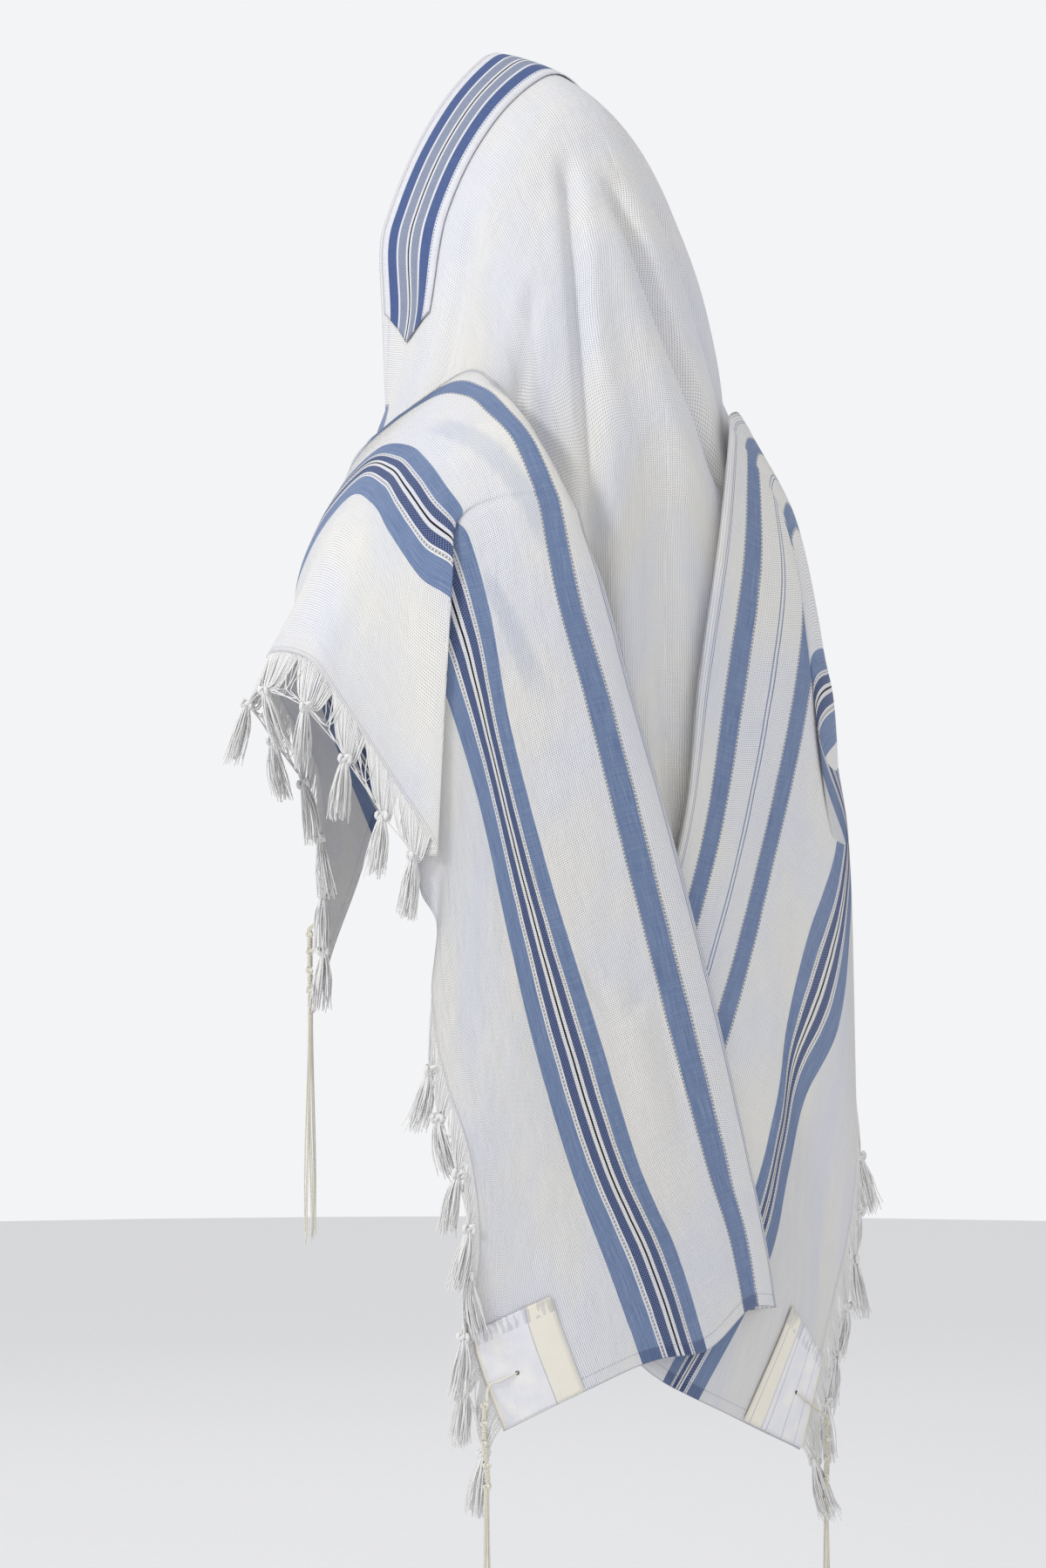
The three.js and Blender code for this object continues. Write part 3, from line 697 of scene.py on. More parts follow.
LEFT_ROWS = (
    Row((119, 815), (146, 700), (152, 640), (154, 560), (153, 518), (144, 405), 0, 30),
    Row((116, 712), (130, 592), (132, 534), (134, 460), (131, 424), (128, 358), 0, 22),
    Row((112, 636), (119, 500), (118, 450), (113, 393), (108, 363), (114, 356), 0.8, 10),
    Row((107, 580), (106, 440), (103, 392), (95, 346), (88, 324), (100, 340)),
    Row((97, 538), (91, 396), (88, 354), (76, 303), (67, 284), (88, 322)),
    Row((84, 542), (81, 405), (78, 352), (63, 304), (55, 302), (80, 334), 1, 3),
    Row((78, 580), (74, 432), (71, 366), (55, 322), (46, 334), (74, 356), 1, 7),
    Row((69, 655), (66, 472), (65, 388), (48, 348), (40, 372), (70, 382), 1, 10),
    Row((62, 709), (60, 492), (60, 412), (43, 388), (34, 411), (65, 415), 1, 11),
    Row((66, 714), (65, 508), (61, 422), (42, 398), (33, 421), (64, 425), 1, 5),
    Row((66, 745), (64, 535), (58, 438), (41, 412), (32, 434), (63, 437)),
    Row((63, 775), (60, 590), (53, 505), (37, 490), (27, 482), (58, 486)),
    Row((64, 835), (55, 670), (49, 600), (30, 575), (19, 575), (50, 575)),
    Row((62, 900), (50, 770), (41, 727), (21, 690), (8, 685), (41, 690)),
    Row((57, 970), (44, 879), (29, 870), (7, 850), (-8, 845), (26, 850)),
    Row((55, 1045), (36, 985), (18, 985), (-6, 985), (-21, 990), (13, 985)),
    Row((56, 1130), (26, 1080), (6, 1065), (-14, 1055), (-27, 1060), (6, 1060)),
    Row((50, 1212), (17, 1161), (-4, 1154), (-19, 1122), (-31, 1124), (3, 1124)),
)
RIGHT_ROWS = (
    Row((-155, 825), (-160, 670), (-158, 600), (-154, 520), (-148, 440), (-142, 385), 0),
    Row((-138, 770), (-143, 610), (-142, 545), (-138, 468), (-132, 395), (-126, 352), 0),
    Row((-120, 800), (-122, 640), (-119, 570), (-110, 475), (-94, 350), (-104, 355), 0.4),
    Row((-110, 812), (-107, 634), (-103, 560), (-92, 440), (-70, 328), (-80, 338), 0.8),
    Row((-100, 820), (-93, 625), (-88, 545), (-76, 410), (-47, 318), (-60, 327)),
    Row((-84, 850), (-66, 610), (-62, 525), (-57, 400), (-36, 320), (-49, 331)),
    Row((-75, 880), (-56, 640), (-54, 545), (-51, 415), (-31, 328), (-45, 342), 1, 4),
    Row((-80, 930), (-67, 720), (-65, 640), (-54, 435), (-28, 345), (-44, 362), 1, 9),
    Row((-76, 985), (-67, 800), (-62, 715), (-55, 500), (-20, 440), (-42, 446), 1, 8),
    Row((-72, 1035), (-61, 880), (-49, 795), (-47, 590), (-11, 560), (-41, 570), 1, 5),
    Row((-66, 1085), (-47, 940), (-41, 870), (-34, 710), (-4, 680), (-34, 690), 1, 2),
    Row((-60, 1130), (-41, 1005), (-36, 945), (-20, 830), (8, 790), (-22, 800)),
    Row((-54, 1180), (-32, 1090), (-22, 1050), (0, 970), (24, 940), (-8, 950)),
    Row((-45, 1260), (-5, 1200), (8, 1180), (22, 1150), (38, 1125), (6, 1125)),
)
TURNED = 0.16  # where the turned-under edge lies, as a share of the way to the hidden end
THREAD_LIFT = (1, 0.8, 0.2, 0, 0, 0, 0)
THREAD_UNDER = (0, 0, 0, 0, 0.5, 1, 1)


def row_points(row: Row, cover: Callable[[float], float]) -> list[Array]:
    """Places the threads of one row.

    Args:
        row: the row.
        cover: how far off the figure the outer layer lies, by degrees round.

    Returns:
        A point for each thread, from the fringed edge inwards.
    """
    fold, hidden = np.array(row.fold, float), np.array(row.hidden, float)
    threads = [row.fringe, row.outer, row.inner, row.band, fold, mix(fold, hidden, TURNED), hidden]
    return [
        FIGURE.point(turn, drop, cover(turn) + row.lift * lift - LAYER * row.tuck * under)
        for (turn, drop), lift, under in zip(threads, THREAD_LIFT, THREAD_UNDER)
    ]


@dataclass
class SideCloth:
    """One side of the shawl: over the shoulder and arm, and down the back to the hem."""

    name: str
    node: str
    rows: tuple[Row, ...]
    side: float
    cover: Callable[[float], float]
    threads: tuple[float, ...]  # mm from the fringed edge of each column
    flat: tuple[float, float]
    area: float  # square metres; the hem isn't straight, so the cut isn't a rectangle
    creases: tuple[Crease, ...] = ()
    ghosts: tuple[tuple[tuple[float, float], ...], ...] = ()
    ripple: float = 1.0
    still: tuple[float, float] = (6, 12)  # the rows of the pleat, where the cloth has no room to ripple
    cell: float = 5.0
    drape: Drape = field(init=False)

    def __post_init__(self) -> None:
        """Lays the drape."""
        grid = np.array([row_points(row, self.cover) for row in self.rows])
        self.drape = Drape(grid, self.side)

    def _columns(self) -> Array:
        """Gives the columns to sample, close together where the cloth turns under."""
        parts = []
        for i in range(len(self.threads) - 1):
            count = max(3, round((self.threads[i + 1] - self.threads[i]) / self.cell))
            parts.append(np.linspace(i, i + 1, count, endpoint=False))
        return np.concatenate([*parts, [len(self.threads) - 1]])

    def relief(self, s: Array, v: Array) -> Array:
        """Gives the small folds of the cloth, in mm, at flat places."""
        long = np.sin(s / 23 + 1.3 * np.sin(v / 190) + 0.6) * np.sin(s / 61 + v / 420)
        drift = np.sin(s / 37 - v / 130 + 1.1) * np.sin(v / 95 + s / 210)
        total = self.ripple * (0.9 * long + 0.45 * drift)
        for crease in self.creases:
            total = total - crease.depth(s, v)
        return total

    def sample(self) -> Sheet:
        """Samples the side with its small folds.

        Returns:
            The sheet, with its flat measures.
        """
        count = round((len(self.rows) - 1) * 90 / self.cell)
        a, b = np.meshgrid(self._columns(), np.linspace(0, self.drape.along, count))
        points = self.drape.at(a, b)
        normals = self.drape.normal(a, b)
        s = np.interp(a, np.arange(len(self.threads)), self.threads)
        v = lengths_down(points)
        free = smooth(self.threads[4] + 4, self.threads[4] - 12, s)
        first, last = self.still
        pleated = smooth(first - 1.5, first, b) * smooth(last + 1, last - 0.5, b)
        free = free * (1 - pleated)
        points = points + normals * (self.relief(s, v) * free)[..., None]
        return Sheet(points, s, v)

    def ghost(self, sheet: Sheet) -> Array:
        """Gives how much of a band of the layer below shows through, at each point."""
        total = np.zeros_like(sheet.s)
        for path in self.ghosts:
            at = np.array(path)
            centre = np.interp(sheet.v, at[:, 1], at[:, 0])
            first, last = at[0, 1], at[-1, 1]
            ends = smooth(first - 5, first + 25, sheet.v) * smooth(last + 5, last - 60, sheet.v)
            total = np.maximum(total, ends * smooth(12, 7.5, np.abs(sheet.s - centre)))
        return total

    def build(self, wool: bpy.types.Material) -> bpy.types.Object:
        """Builds the side's cloth in its finish."""
        sheet = self.sample()
        ends = np.minimum(sheet.v, sheet.v[-1:] - sheet.v)
        layers = {"cloth": np.stack([sheet.s, sheet.v, ends], axis=-1)}
        piece = cloth_piece(self.name, sheet.points, layers, wool, {"under": self.ghost(sheet)})
        declare(piece, "cloth", self.node)
        return piece


@dataclass(frozen=True)
class Hoop:
    """A line across the hood: its middle, its widest point, its round and its foot."""

    back: float
    up: float
    wide: float
    wide_back: float
    wide_down: float
    arch: float
    turn: float
    drop: float

    ROUND = (1, 0.8, 0.6, 0.4, 0.2, 0)

    def half(self) -> list[Array]:
        """Gives the points from the left foot up to the middle."""
        foot = FIGURE.point(self.turn, self.drop, HoodCloth.UNDER)
        widest = np.array([self.wide, self.wide_back, -self.wide_down])
        points = [foot, *(HoodCloth.pressed(mix(foot, widest, share)) for share in (0.34, 0.67))]
        for share in self.ROUND:
            out = math.sin(share * math.pi / 2) ** (2 / self.arch)
            rise = math.cos(share * math.pi / 2) ** (2 / self.arch)
            y = mix(self.wide_back, self.back, rise)
            points.append(np.array([self.wide * out, y, mix(-self.wide_down, self.up, rise)]))
        return points


@dataclass(frozen=True)
class BackRow:
    """A line across the back: how low its middle is, and its left end."""

    middle: float
    turn: float
    drop: float

    def half(self) -> list[Array]:
        """Gives the points from the left end to the middle."""
        shares = np.linspace(1, 0, len(Hoop.ROUND) + 3)
        return [
            FIGURE.point(self.turn * share, mix(self.middle, self.drop, share**2), HoodCloth.UNDER)
            for share in shares
        ]


@dataclass(frozen=True)
class HoodFold:
    """A long soft trough of the hood or back, from one place of the figure to another."""

    turn: float
    drop: float
    end_turn: float
    end_drop: float
    deep: float
    wide: float
    fade: float = 45.0

    def depth(self, points: Array) -> Array:
        """Gives how deep the trough is at each point."""
        turn = np.degrees(np.arctan2(points[..., 0], points[..., 1] - 10))
        reach = np.hypot(points[..., 0], points[..., 1] - 10)
        length = self.end_drop - self.drop
        along = (-points[..., 2] - self.drop) / length
        ends = smooth(0, self.fade / length, along) * smooth(1, 1 - self.fade / length, along)
        aside = np.radians(turn - mix(self.turn, self.end_turn, along)) * reach
        return self.deep * ends * np.exp(-((aside / self.wide) ** 2))


HOOPS = (
    Hoop(-80, 34, 116, -101, 155, 1.42, 136, 350),
    Hoop(-32, 21, 119, -52, 160, 1.48, 114, 350),
    Hoop(20, 0, 122, -2, 166, 1.55, 97, 352),
    Hoop(64, -31, 123, 42, 182, 1.6, 84, 358),
    Hoop(98, -84, 120, 72, 225, 1.7, 74, 372),
    Hoop(128, -152, 114, 100, 275, 1.9, 65, 400),
    Hoop(150, -240, 108, 124, 335, 2, 58, 450),
)
BACK_ROWS = (
    BackRow(340, 54, 520),
    BackRow(470, 50, 610),
    BackRow(640, 46, 740),
    BackRow(820, 42, 880),
    BackRow(980, 36, 1010),
    BackRow(1110, 30, 1122),
)
HOOD_FOLDS = (
    HoodFold(31, 70, 24, 560, 13, 9),
    HoodFold(26, 90, 16, 600, -4, 20),
    HoodFold(8, 90, -27, 400, 15, 10),
    HoodFold(16, 120, -12, 420, -5, 18),
    HoodFold(46, 190, 50, 345, 8, 9),
    HoodFold(76, 110, 80, 345, 7, 11),
    HoodFold(-22, 90, -38, 345, 7, 9),
    HoodFold(-62, 110, -70, 330, 6, 14),
    HoodFold(4, 400, -2, 700, 7, 14),
)


@dataclass
class HoodCloth:
    """The middle of the shawl: over the head and down the back, under both sides."""

    cell: float = 5.0
    middle: float = 900.0  # mm from the fringed edge to the middle of the cloth
    chin_band: float = 538.0  # the last coloured band, which shows beside the chin
    chin_drop: float = 312.0
    flat: tuple[float, float] = (0.795, 1.266)
    area: float = 0.424  # square metres; it narrows down the back, between the two sides
    drape: Drape = field(init=False)

    UNDER = -7.0
    OPEN_FROM = 124.0

    @staticmethod
    def pressed(point: Array) -> Array:
        """Keeps a point of the hood inside the figure where a side lies over it."""
        drop = -point[2]
        centre = float(FIGURE.measure(4, drop))
        turn = math.degrees(math.atan2(point[0], point[1] - centre))
        if turn > HoodCloth.OPEN_FROM or drop < FIGURE.levels[0][0]:
            return point
        limit = FIGURE.point(turn, drop, HoodCloth.UNDER - 1)
        reach = math.hypot(point[0], point[1] - centre)
        return limit if reach > math.hypot(limit[0], limit[1] - centre) else point

    def __post_init__(self) -> None:
        """Lays the drape."""
        rows = []
        for row in (*HOOPS, *BACK_ROWS):
            half = row.half()
            rows.append([*half, *(p * np.array([-1, 1, 1]) for p in half[-2::-1])])
        self.drape = Drape(np.array(rows), -1.0)

    def point(self, a: Any, b: Any, out: float = 0.0) -> tuple[Array, Array]:
        """Gives points of the folded hood and their outward directions.

        Args:
            a: columns.
            b: rows.
            out: mm off the cloth.

        Returns:
            The points and the directions.
        """
        points = self.drape.at(a, b)
        normals = self.drape.normal(a, b)
        depth = sum(fold.depth(points) for fold in HOOD_FOLDS)
        return points + normals * (out - depth)[..., None], normals

    def sample(self) -> Sheet:
        """Samples the hood and back with their folds and flat measures."""
        columns = np.linspace(0, self.drape.across, round(900 / self.cell) + 1)
        rows = np.linspace(0, self.drape.along, round(1150 / self.cell) + 1)
        a, b = np.meshgrid(columns, rows)
        points, normals = self.point(a, b)
        half = len(columns) // 2
        steps = np.linalg.norm(np.diff(points, axis=1), axis=2)
        out = np.cumsum(np.concatenate([np.zeros((len(rows), 1)), steps], axis=1), axis=1)
        out = np.abs(out - out[:, half : half + 1])
        at_chin = np.interp(self.chin_drop, -points[0, half::-1, 2], out[0, half::-1])
        scale = (self.middle - self.chin_band) / at_chin
        s = self.middle - out * scale * (1 - 0.14 * smooth(1, 2.6, b))
        v = lengths_down(points)
        ripple = np.sin(s / 21 + 1.2 * np.sin(v / 160)) * np.sin(v / 140 + s / 90) * smooth(90, 160, v)
        return Sheet(points + normals * (0.8 * ripple)[..., None], s, v)

    def build(self, wool: bpy.types.Material) -> bpy.types.Object:
        """Builds the hood's cloth in its finish."""
        sheet = self.sample()
        ends = np.minimum(sheet.v, sheet.v[-1:] - sheet.v)
        layers = {"cloth": np.stack([sheet.s, sheet.v, ends], axis=-1)}
        piece = cloth_piece("hood_cloth", sheet.points, layers, wool, {"under": np.zeros_like(sheet.s)})
        declare(piece, "cloth", "hood_and_back")
        return piece


# ---------------------------------------------------------------------------------------------
# Making meshes
# ---------------------------------------------------------------------------------------------


def grid_faces(rows: int, columns: int) -> Array:
    """Gives the four corners of each cell of a grid of points."""
    index = np.arange(rows * columns).reshape(rows, columns)
    corners = [index[:-1, :-1], index[:-1, 1:], index[1:, 1:], index[1:, :-1]]
    return np.stack([c.ravel() for c in corners], axis=1)


def new_piece(name: str, points: Array, faces: Array, material: bpy.types.Material) -> bpy.types.Object:
    """Makes a smooth mesh object from points in mm."""
    mesh = bpy.data.meshes.new(name)
    mesh.from_pydata((points.reshape(-1, 3) * MM).tolist(), [], faces.tolist())
    mesh.polygons.foreach_set("use_smooth", [True] * len(mesh.polygons))
    mesh.materials.append(material)
    mesh.update()
    piece = bpy.data.objects.new(name, mesh)
    bpy.context.scene.collection.objects.link(piece)
    return piece


def cloth_piece(
    name: str,
    points: Array,
    vectors: dict[str, Array],
    material: bpy.types.Material,
    numbers: dict[str, Array] | None = None,
    thick: float = 1.0,
) -> bpy.types.Object:
    """Makes a sheet with thickness from a grid of points.

    Args:
        name: the piece's name.
        points: the grid, in mm.
        vectors: flat measures to keep on the mesh, three for each point.
        material: the finish.
        numbers: single values to keep on the mesh.
        thick: the cloth's thickness in mm.

    Returns:
        The new object.
    """
    piece = new_piece(name, points, grid_faces(*points.shape[:2]), material)
    for key, values in vectors.items():
        layer = piece.data.attributes.new(key, "FLOAT_VECTOR", "POINT")
        layer.data.foreach_set("vector", values.reshape(-1).astype(np.float32))
    for key, values in (numbers or {}).items():
        layer = piece.data.attributes.new(key, "FLOAT", "POINT")
        layer.data.foreach_set("value", values.reshape(-1).astype(np.float32))
    solid = piece.modifiers.new("thickness", "SOLIDIFY")
    solid.thickness = thick * MM
    solid.offset = 0
    return piece


def declare(piece: bpy.types.Object, slot: str, *nodes: str) -> None:
    """Attaches a piece to the body and hides the CAD nodes that it stands for."""
    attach(piece, BODY)
    if nodes:
        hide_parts(*nodes)


@dataclass
class StrandBundle:
    """Many thin strands gathered into one mesh."""

    sides: int = 5
    points: list[Array] = field(default_factory=list)
    faces: list[Array] = field(default_factory=list)
    count: int = 0

    def add(self, path: Array, radius: Any) -> None:
        """Adds a round strand.

        Args:
            path: its centreline, in mm.
            radius: its radius in mm, one number or one for each point.
        """
        tangent = unit(np.gradient(path, axis=0))
        axis = np.eye(3)[np.argmin(np.abs(tangent.mean(axis=0)))]
        first = unit(np.cross(tangent, axis))
        second = np.cross(tangent, first)
        angle = np.linspace(0, 2 * math.pi, self.sides, endpoint=False)
        wide = np.broadcast_to(np.asarray(radius, float), (len(path),))[:, None, None]
        ring = first[:, None] * np.cos(angle)[None, :, None] + second[:, None] * np.sin(angle)[None, :, None]
        self.points.append((path[:, None] + ring * wide).reshape(-1, 3))
        rows, sides = len(path), self.sides
        i, j = np.meshgrid(np.arange(rows - 1), np.arange(sides), indexing="ij")
        k = (j + 1) % sides
        quads = np.stack([i * sides + j, i * sides + k, (i + 1) * sides + k, (i + 1) * sides + j], axis=-1)
        self.faces.append(quads.reshape(-1, 4) + self.count)
        self.count += rows * sides

    def build(self, name: str, material: bpy.types.Material) -> bpy.types.Object:
        """Makes the mesh object of all strands."""
        return new_piece(name, np.concatenate(self.points), np.concatenate(self.faces), material)


def curve_through(points: Sequence[Array], count: int) -> Array:
    """Gives evenly counted points of a smooth curve through a few."""
    control = np.array(points, float)
    at = np.linspace(0, len(control) - 1, count)
    return spline_weights(at, len(control)) @ control


def knot_path(centre: Array, down: Array, size: float, phase: float, count: int = 30) -> Array:
    """Gives the path of a small overhand knot.

    Args:
        centre: its middle, in mm.
        down: the direction that the yarn runs in.
        size: half its width.
        phase: how far it is turned round.
        count: points on the path.

    Returns:
        The centreline.
    """
    down = unit(down)
    side = unit(np.cross(down, np.array([math.cos(phase), math.sin(phase), 0.2])))
    other = np.cross(down, side)
    t = np.linspace(0, 2 * math.pi, count)
    x = np.sin(t) + 0.45 * np.sin(2 * t)
    y = np.cos(t) - 0.45 * np.cos(2 * t)
    z = -np.sin(3 * t) * 0.55 + (t / math.pi - 1) * 0.25
    place = side * x[:, None] + other * y[:, None] + down * z[:, None]
    return centre + place * size * 0.62


# ---------------------------------------------------------------------------------------------
# Pieces that are sewn or knotted on
# ---------------------------------------------------------------------------------------------


@dataclass
class Neckband:
    """The neckband along the top edge, with a point at each end."""

    hood: HoodCloth
    from_edge: float = 8.0
    width: float = 94.0
    covers: float = 0.8  # how much of the top edge it covers
    point: float = 0.9  # how far its points reach, in hoop columns
    columns: int = 190
    rows: int = 22
    flat: tuple[float, float] = (0.094, 0.68)

    def build(self, weave: bpy.types.Material) -> bpy.types.Object:
        """Builds the band on the hood."""
        drape = self.hood.drape
        start = drape.across * (1 - self.covers) / 2
        shares = np.linspace(0, 1, self.rows + 1)
        a = np.empty((self.rows + 1, self.columns + 1))
        b = np.empty_like(a)
        for r, share in enumerate(shares):
            inset = abs(share - 0.5) * self.point
            a[r] = np.linspace(start + inset, drape.across - start - inset, self.columns + 1)
            b[r] = self._rows_back(drape, a[r], self.from_edge + share * self.width)
        beads = ((0.7, 0.975), (0.35, 0.02))  # height in mm, and where it lies across the band
        bead = sum(high * np.exp(-(((shares - at) / 0.02) ** 2)) for high, at in beads)
        points, normals = self.hood.point(a, b, (WALL + 1.2) / 2 + SEAM + 0.4)
        points = points + normals * bead[:, None, None]
        run = np.linalg.norm(np.diff(points, axis=1), axis=2)
        along = np.concatenate([np.zeros((len(a), 1)), np.cumsum(run, axis=1)], axis=1)
        end = np.minimum(along, along[:, -1:] - along)
        across = np.broadcast_to(shares[:, None] * self.width, a.shape)
        measures = np.stack([across, along - along[:, -1:] / 2, end], axis=-1)
        piece = cloth_piece("neckband_cloth", points, {"band": measures}, weave, thick=1.1)
        declare(piece, "neckband", "neckband")
        return piece

    @staticmethod
    def _rows_back(drape: Drape, a: Array, distance: float) -> Array:
        """Finds, for each column, the row a distance back from the top edge."""
        rows = np.linspace(0, 3.6, 61)
        line = drape.at(a[None, :], rows[:, None])
        gone = lengths_down(line)
        return np.array([np.interp(distance, gone[:, i], rows) for i in range(len(a))])


@dataclass
class Corner:
    """One corner of the shawl: its patch, its eyelet and its tassel."""

    name: str
    cloth: SideCloth
    start: float
    step: int
    satin: PatchSatin
    seed: int
    side_mm: float = 90.0
    eyelet_mm: float = 42.0
    gap: float = 155.0  # mm of cloth in the first column of a side
    cord: float = 6.0
    wound: float = 72.0
    string: float = 1.3
    tail: float = 212.0
    strings: int = 8

    def _on(self, x: float, y: float, out: float) -> Array:
        """Finds a place by its mm from the fringed edge and from the hem."""
        b = self.cloth.drape.row_at(0, self.start, y, self.step)
        a = x / self.gap
        return self.cloth.drape.at(a, b) + self.cloth.drape.normal(a, b) * out

    def hang(self) -> tuple[Array, Array, Array]:
        """Finds where the tassel hangs.

        Returns:
            The end of the loop, the top and the bottom of the winding.
        """
        lift = WALL / 2 + 1.2 + SEAM * 2 + self.cord / 2 + 2 * FACET
        inner, edge = (self._on(x, self.eyelet_mm, lift) for x in (self.eyelet_mm, 2))
        out = unit((edge - inner) * np.array([1, 1, 0]))
        b = self.cloth.drape.row_at(0, self.start, self.eyelet_mm, self.step)
        head = edge + out * 5 + np.array([0, 0, -10]) + self.cloth.drape.normal(0, b) * 7
        top = head + np.array([0, 0, -self.cord])
        return head, top, top + np.array([0, 0, -self.wound])

    def build_strings(self, wool: bpy.types.Material) -> list[bpy.types.Object]:
        """Builds the free strings, each as a cord of its own."""
        rng = np.random.default_rng(self.seed)
        bottom = self.hang()[2]
        made = []
        for i in range(self.strings):
            angle = 2 * math.pi * i / self.strings + 0.3
            ring = np.array([math.cos(angle), math.sin(angle), 0.0])
            length = self.tail * rng.uniform(0.93, 1.0)
            drop = np.linspace(0, 1, 22)
            spread = 1.8 + 3.4 * smooth(0, 0.8, drop) * rng.uniform(0.4, 1.0)
            sway = 1.6 * np.sin(drop * math.pi * rng.uniform(1.2, 2.4) + rng.uniform(0, 6)) * drop
            path = bottom + ring * spread[:, None] + ring[[1, 0, 2]] * np.array([-1, 1, 0]) * sway[:, None]
            path = path - np.array([0, 0, 1]) * (drop * length)[:, None]
            if self.name == "left_back" and i == 2:
                path = self._with_curl(path)
            made.append(self._string(f"string_{self.name}_{i + 1}", path, wool))
        return made

    def _with_curl(self, path: Array) -> Array:
        """Ends a string in a small open loop, as a springy end does."""
        t = np.linspace(0, 2.1 * math.pi, 20)
        side = np.array([0.788, -0.616, 0.0])
        start = path[15]
        size = 8.5
        loop = start + side * (size * (1 - np.cos(t)))[:, None]
        loop = loop - np.array([0, 0, 1]) * (size * np.sin(t))[:, None]
        loop = loop + np.array([0.616, 0.788, 0]) * (np.linspace(0, 4.5, 20))[:, None]
        tail = loop[-1] + np.linspace(0.1, 1, 5)[:, None] * np.array([-8, 6, -22])
        return np.concatenate([path[:15], loop, tail])

    def _string(self, name: str, path: Array, wool: bpy.types.Material) -> bpy.types.Object:
        curve = bpy.data.curves.new(name, "CURVE")
        curve.dimensions = "3D"
        curve.bevel_depth = self.string / 2 * MM
        curve.bevel_resolution = 1
        curve.use_fill_caps = True
        spline = curve.splines.new("POLY")
        spline.points.add(len(path) - 1)
        spline.points.foreach_set("co", np.c_[path * MM, np.ones(len(path))].ravel())
        curve.materials.append(wool)
        piece = bpy.data.objects.new(name, curve)
        bpy.context.scene.collection.objects.link(piece)
        declare(piece, "tassel", f"tassel_{self.name}_strings")
        (path[0] * MM).tolist()
        return piece

    def build_patch(self) -> bpy.types.Object:
        """Builds the square of satin on the corner."""
        cells = 1 + np.linspace(0, self.side_mm, 31)
        rows = np.array([self.cloth.drape.row_at(0, self.start, y, self.step) for y in cells])
        a, b = np.meshgrid(cells / self.gap, rows)
        normals = self.cloth.drape.normal(a, b)
        points = self.cloth.drape.at(a, b) + normals * ((WALL + 0.8) / 2 + SEAM + 0.9)
        x, y = np.meshgrid(cells, cells)
        edge = np.minimum(np.minimum(x, y), self.side_mm + 1 - np.maximum(x, y))
        points = points + normals * (0.35 * np.sin(x / 9 + y / 17) * smooth(3, 12, edge))[..., None]
        satin = self.satin.material(f"satin_{self.name}")
        layers = {"patch": np.stack([x, y, edge], axis=-1)}
        piece = cloth_piece(f"patch_{self.name}_satin", points, layers, satin, thick=0.7)
        declare(piece, "patch", f"patch_{self.name}")
        return piece

    def build_eyelet(self, thread: bpy.types.Material) -> bpy.types.Object:
        """Builds the worked eyelet: a ring of dark stitches, with an inner ring of the same thread filling
        the hole as painted shade.
        """
        centre = self._on(self.eyelet_mm, self.eyelet_mm, 0)
        normal = unit(self._on(self.eyelet_mm, self.eyelet_mm, 1) - centre)
        side = unit(np.cross(normal, np.array([0.0, 0.0, 1.0])))
        other = np.cross(normal, side)
        bundle = StrandBundle(sides=6)
        t = np.linspace(0, 2 * math.pi, 33)
        # The first ring fills the hole with dark thread as painted shade; the second ring is the stitching.
        for radius, thick in ((0.7, 0.7), (1.7, 0.45)):
            ring = side * np.cos(t)[:, None] + other * np.sin(t)[:, None]
            bundle.add(centre + normal * 2.9 + ring * radius, thick)
        piece = bundle.build(f"eyelet_{self.name}", thread)
        declare(piece, "tassel")
        return piece

    def build_winding(self, wool: bpy.types.Material) -> bpy.types.Object:
        """Builds the loop over the edge and the wound and knotted part below it."""
        head, top, bottom = self.hang()
        bundle = StrandBundle(sides=6)
        near = 3.4
        places = [self._on(x, self.eyelet_mm, near) for x in (self.eyelet_mm, self.eyelet_mm / 2, 4)]
        sideways = unit(np.cross(places[0] - places[2], np.array([0.0, 0.0, 1.0])))
        for offset in (-1.7, 0, 1.7):
            start = [*places, head, top + np.array([0, 0, 2.0])]
            line = curve_through([p + sideways * offset * min(1, i) for i, p in enumerate(start)], 26)
            bundle.add(line, self.string / 2)
        rng = np.random.default_rng(self.seed + 50)
        knots = np.array([0.0, 0.22, 0.46, 0.72, 0.97])
        axis = bottom - top
        lean = unit(np.cross(axis, sideways)) * 1.4
        for i, share in enumerate(knots):
            centre = top + axis * share + lean * math.sin(3 * share + 1)
            bundle.add(knot_path(centre, axis, 3.5, rng.uniform(0, 6)), 1.25)
            if i < len(knots) - 1:
                self._wrap(bundle, top, axis, lean, share + 0.045, knots[i + 1] - 0.045)
        for i in range(4):
            angle = math.pi / 2 * i
            ring = np.array([math.cos(angle), math.sin(angle), 0]) * 1.1
            line = [top + axis * t + lean * math.sin(3 * t + 1) + ring for t in np.linspace(-0.05, 1.04, 14)]
            bundle.add(np.array(line), 0.85)
        piece = bundle.build(f"winding_{self.name}", wool)
        declare(piece, "tassel", f"tassel_{self.name}_loop", f"tassel_{self.name}_winding")
        return piece

    def _wrap(
        self, bundle: StrandBundle, top: Array, axis: Array, lean: Array, low: float, high: float
    ) -> None:
        """Winds one string round the others between two knots."""
        turns = (high - low) * self.wound / 1.55
        t = np.linspace(0, 1, max(12, round(turns * 12)))
        share = mix(low, high, t)
        angle = t * turns * 2 * math.pi
        round_it = np.stack([np.cos(angle), np.sin(angle), np.zeros_like(t)], axis=1)
        middle = top + axis * share[:, None] + lean * np.sin(3 * share + 1)[:, None]
        bundle.add(middle + round_it * 2.1, 0.72)


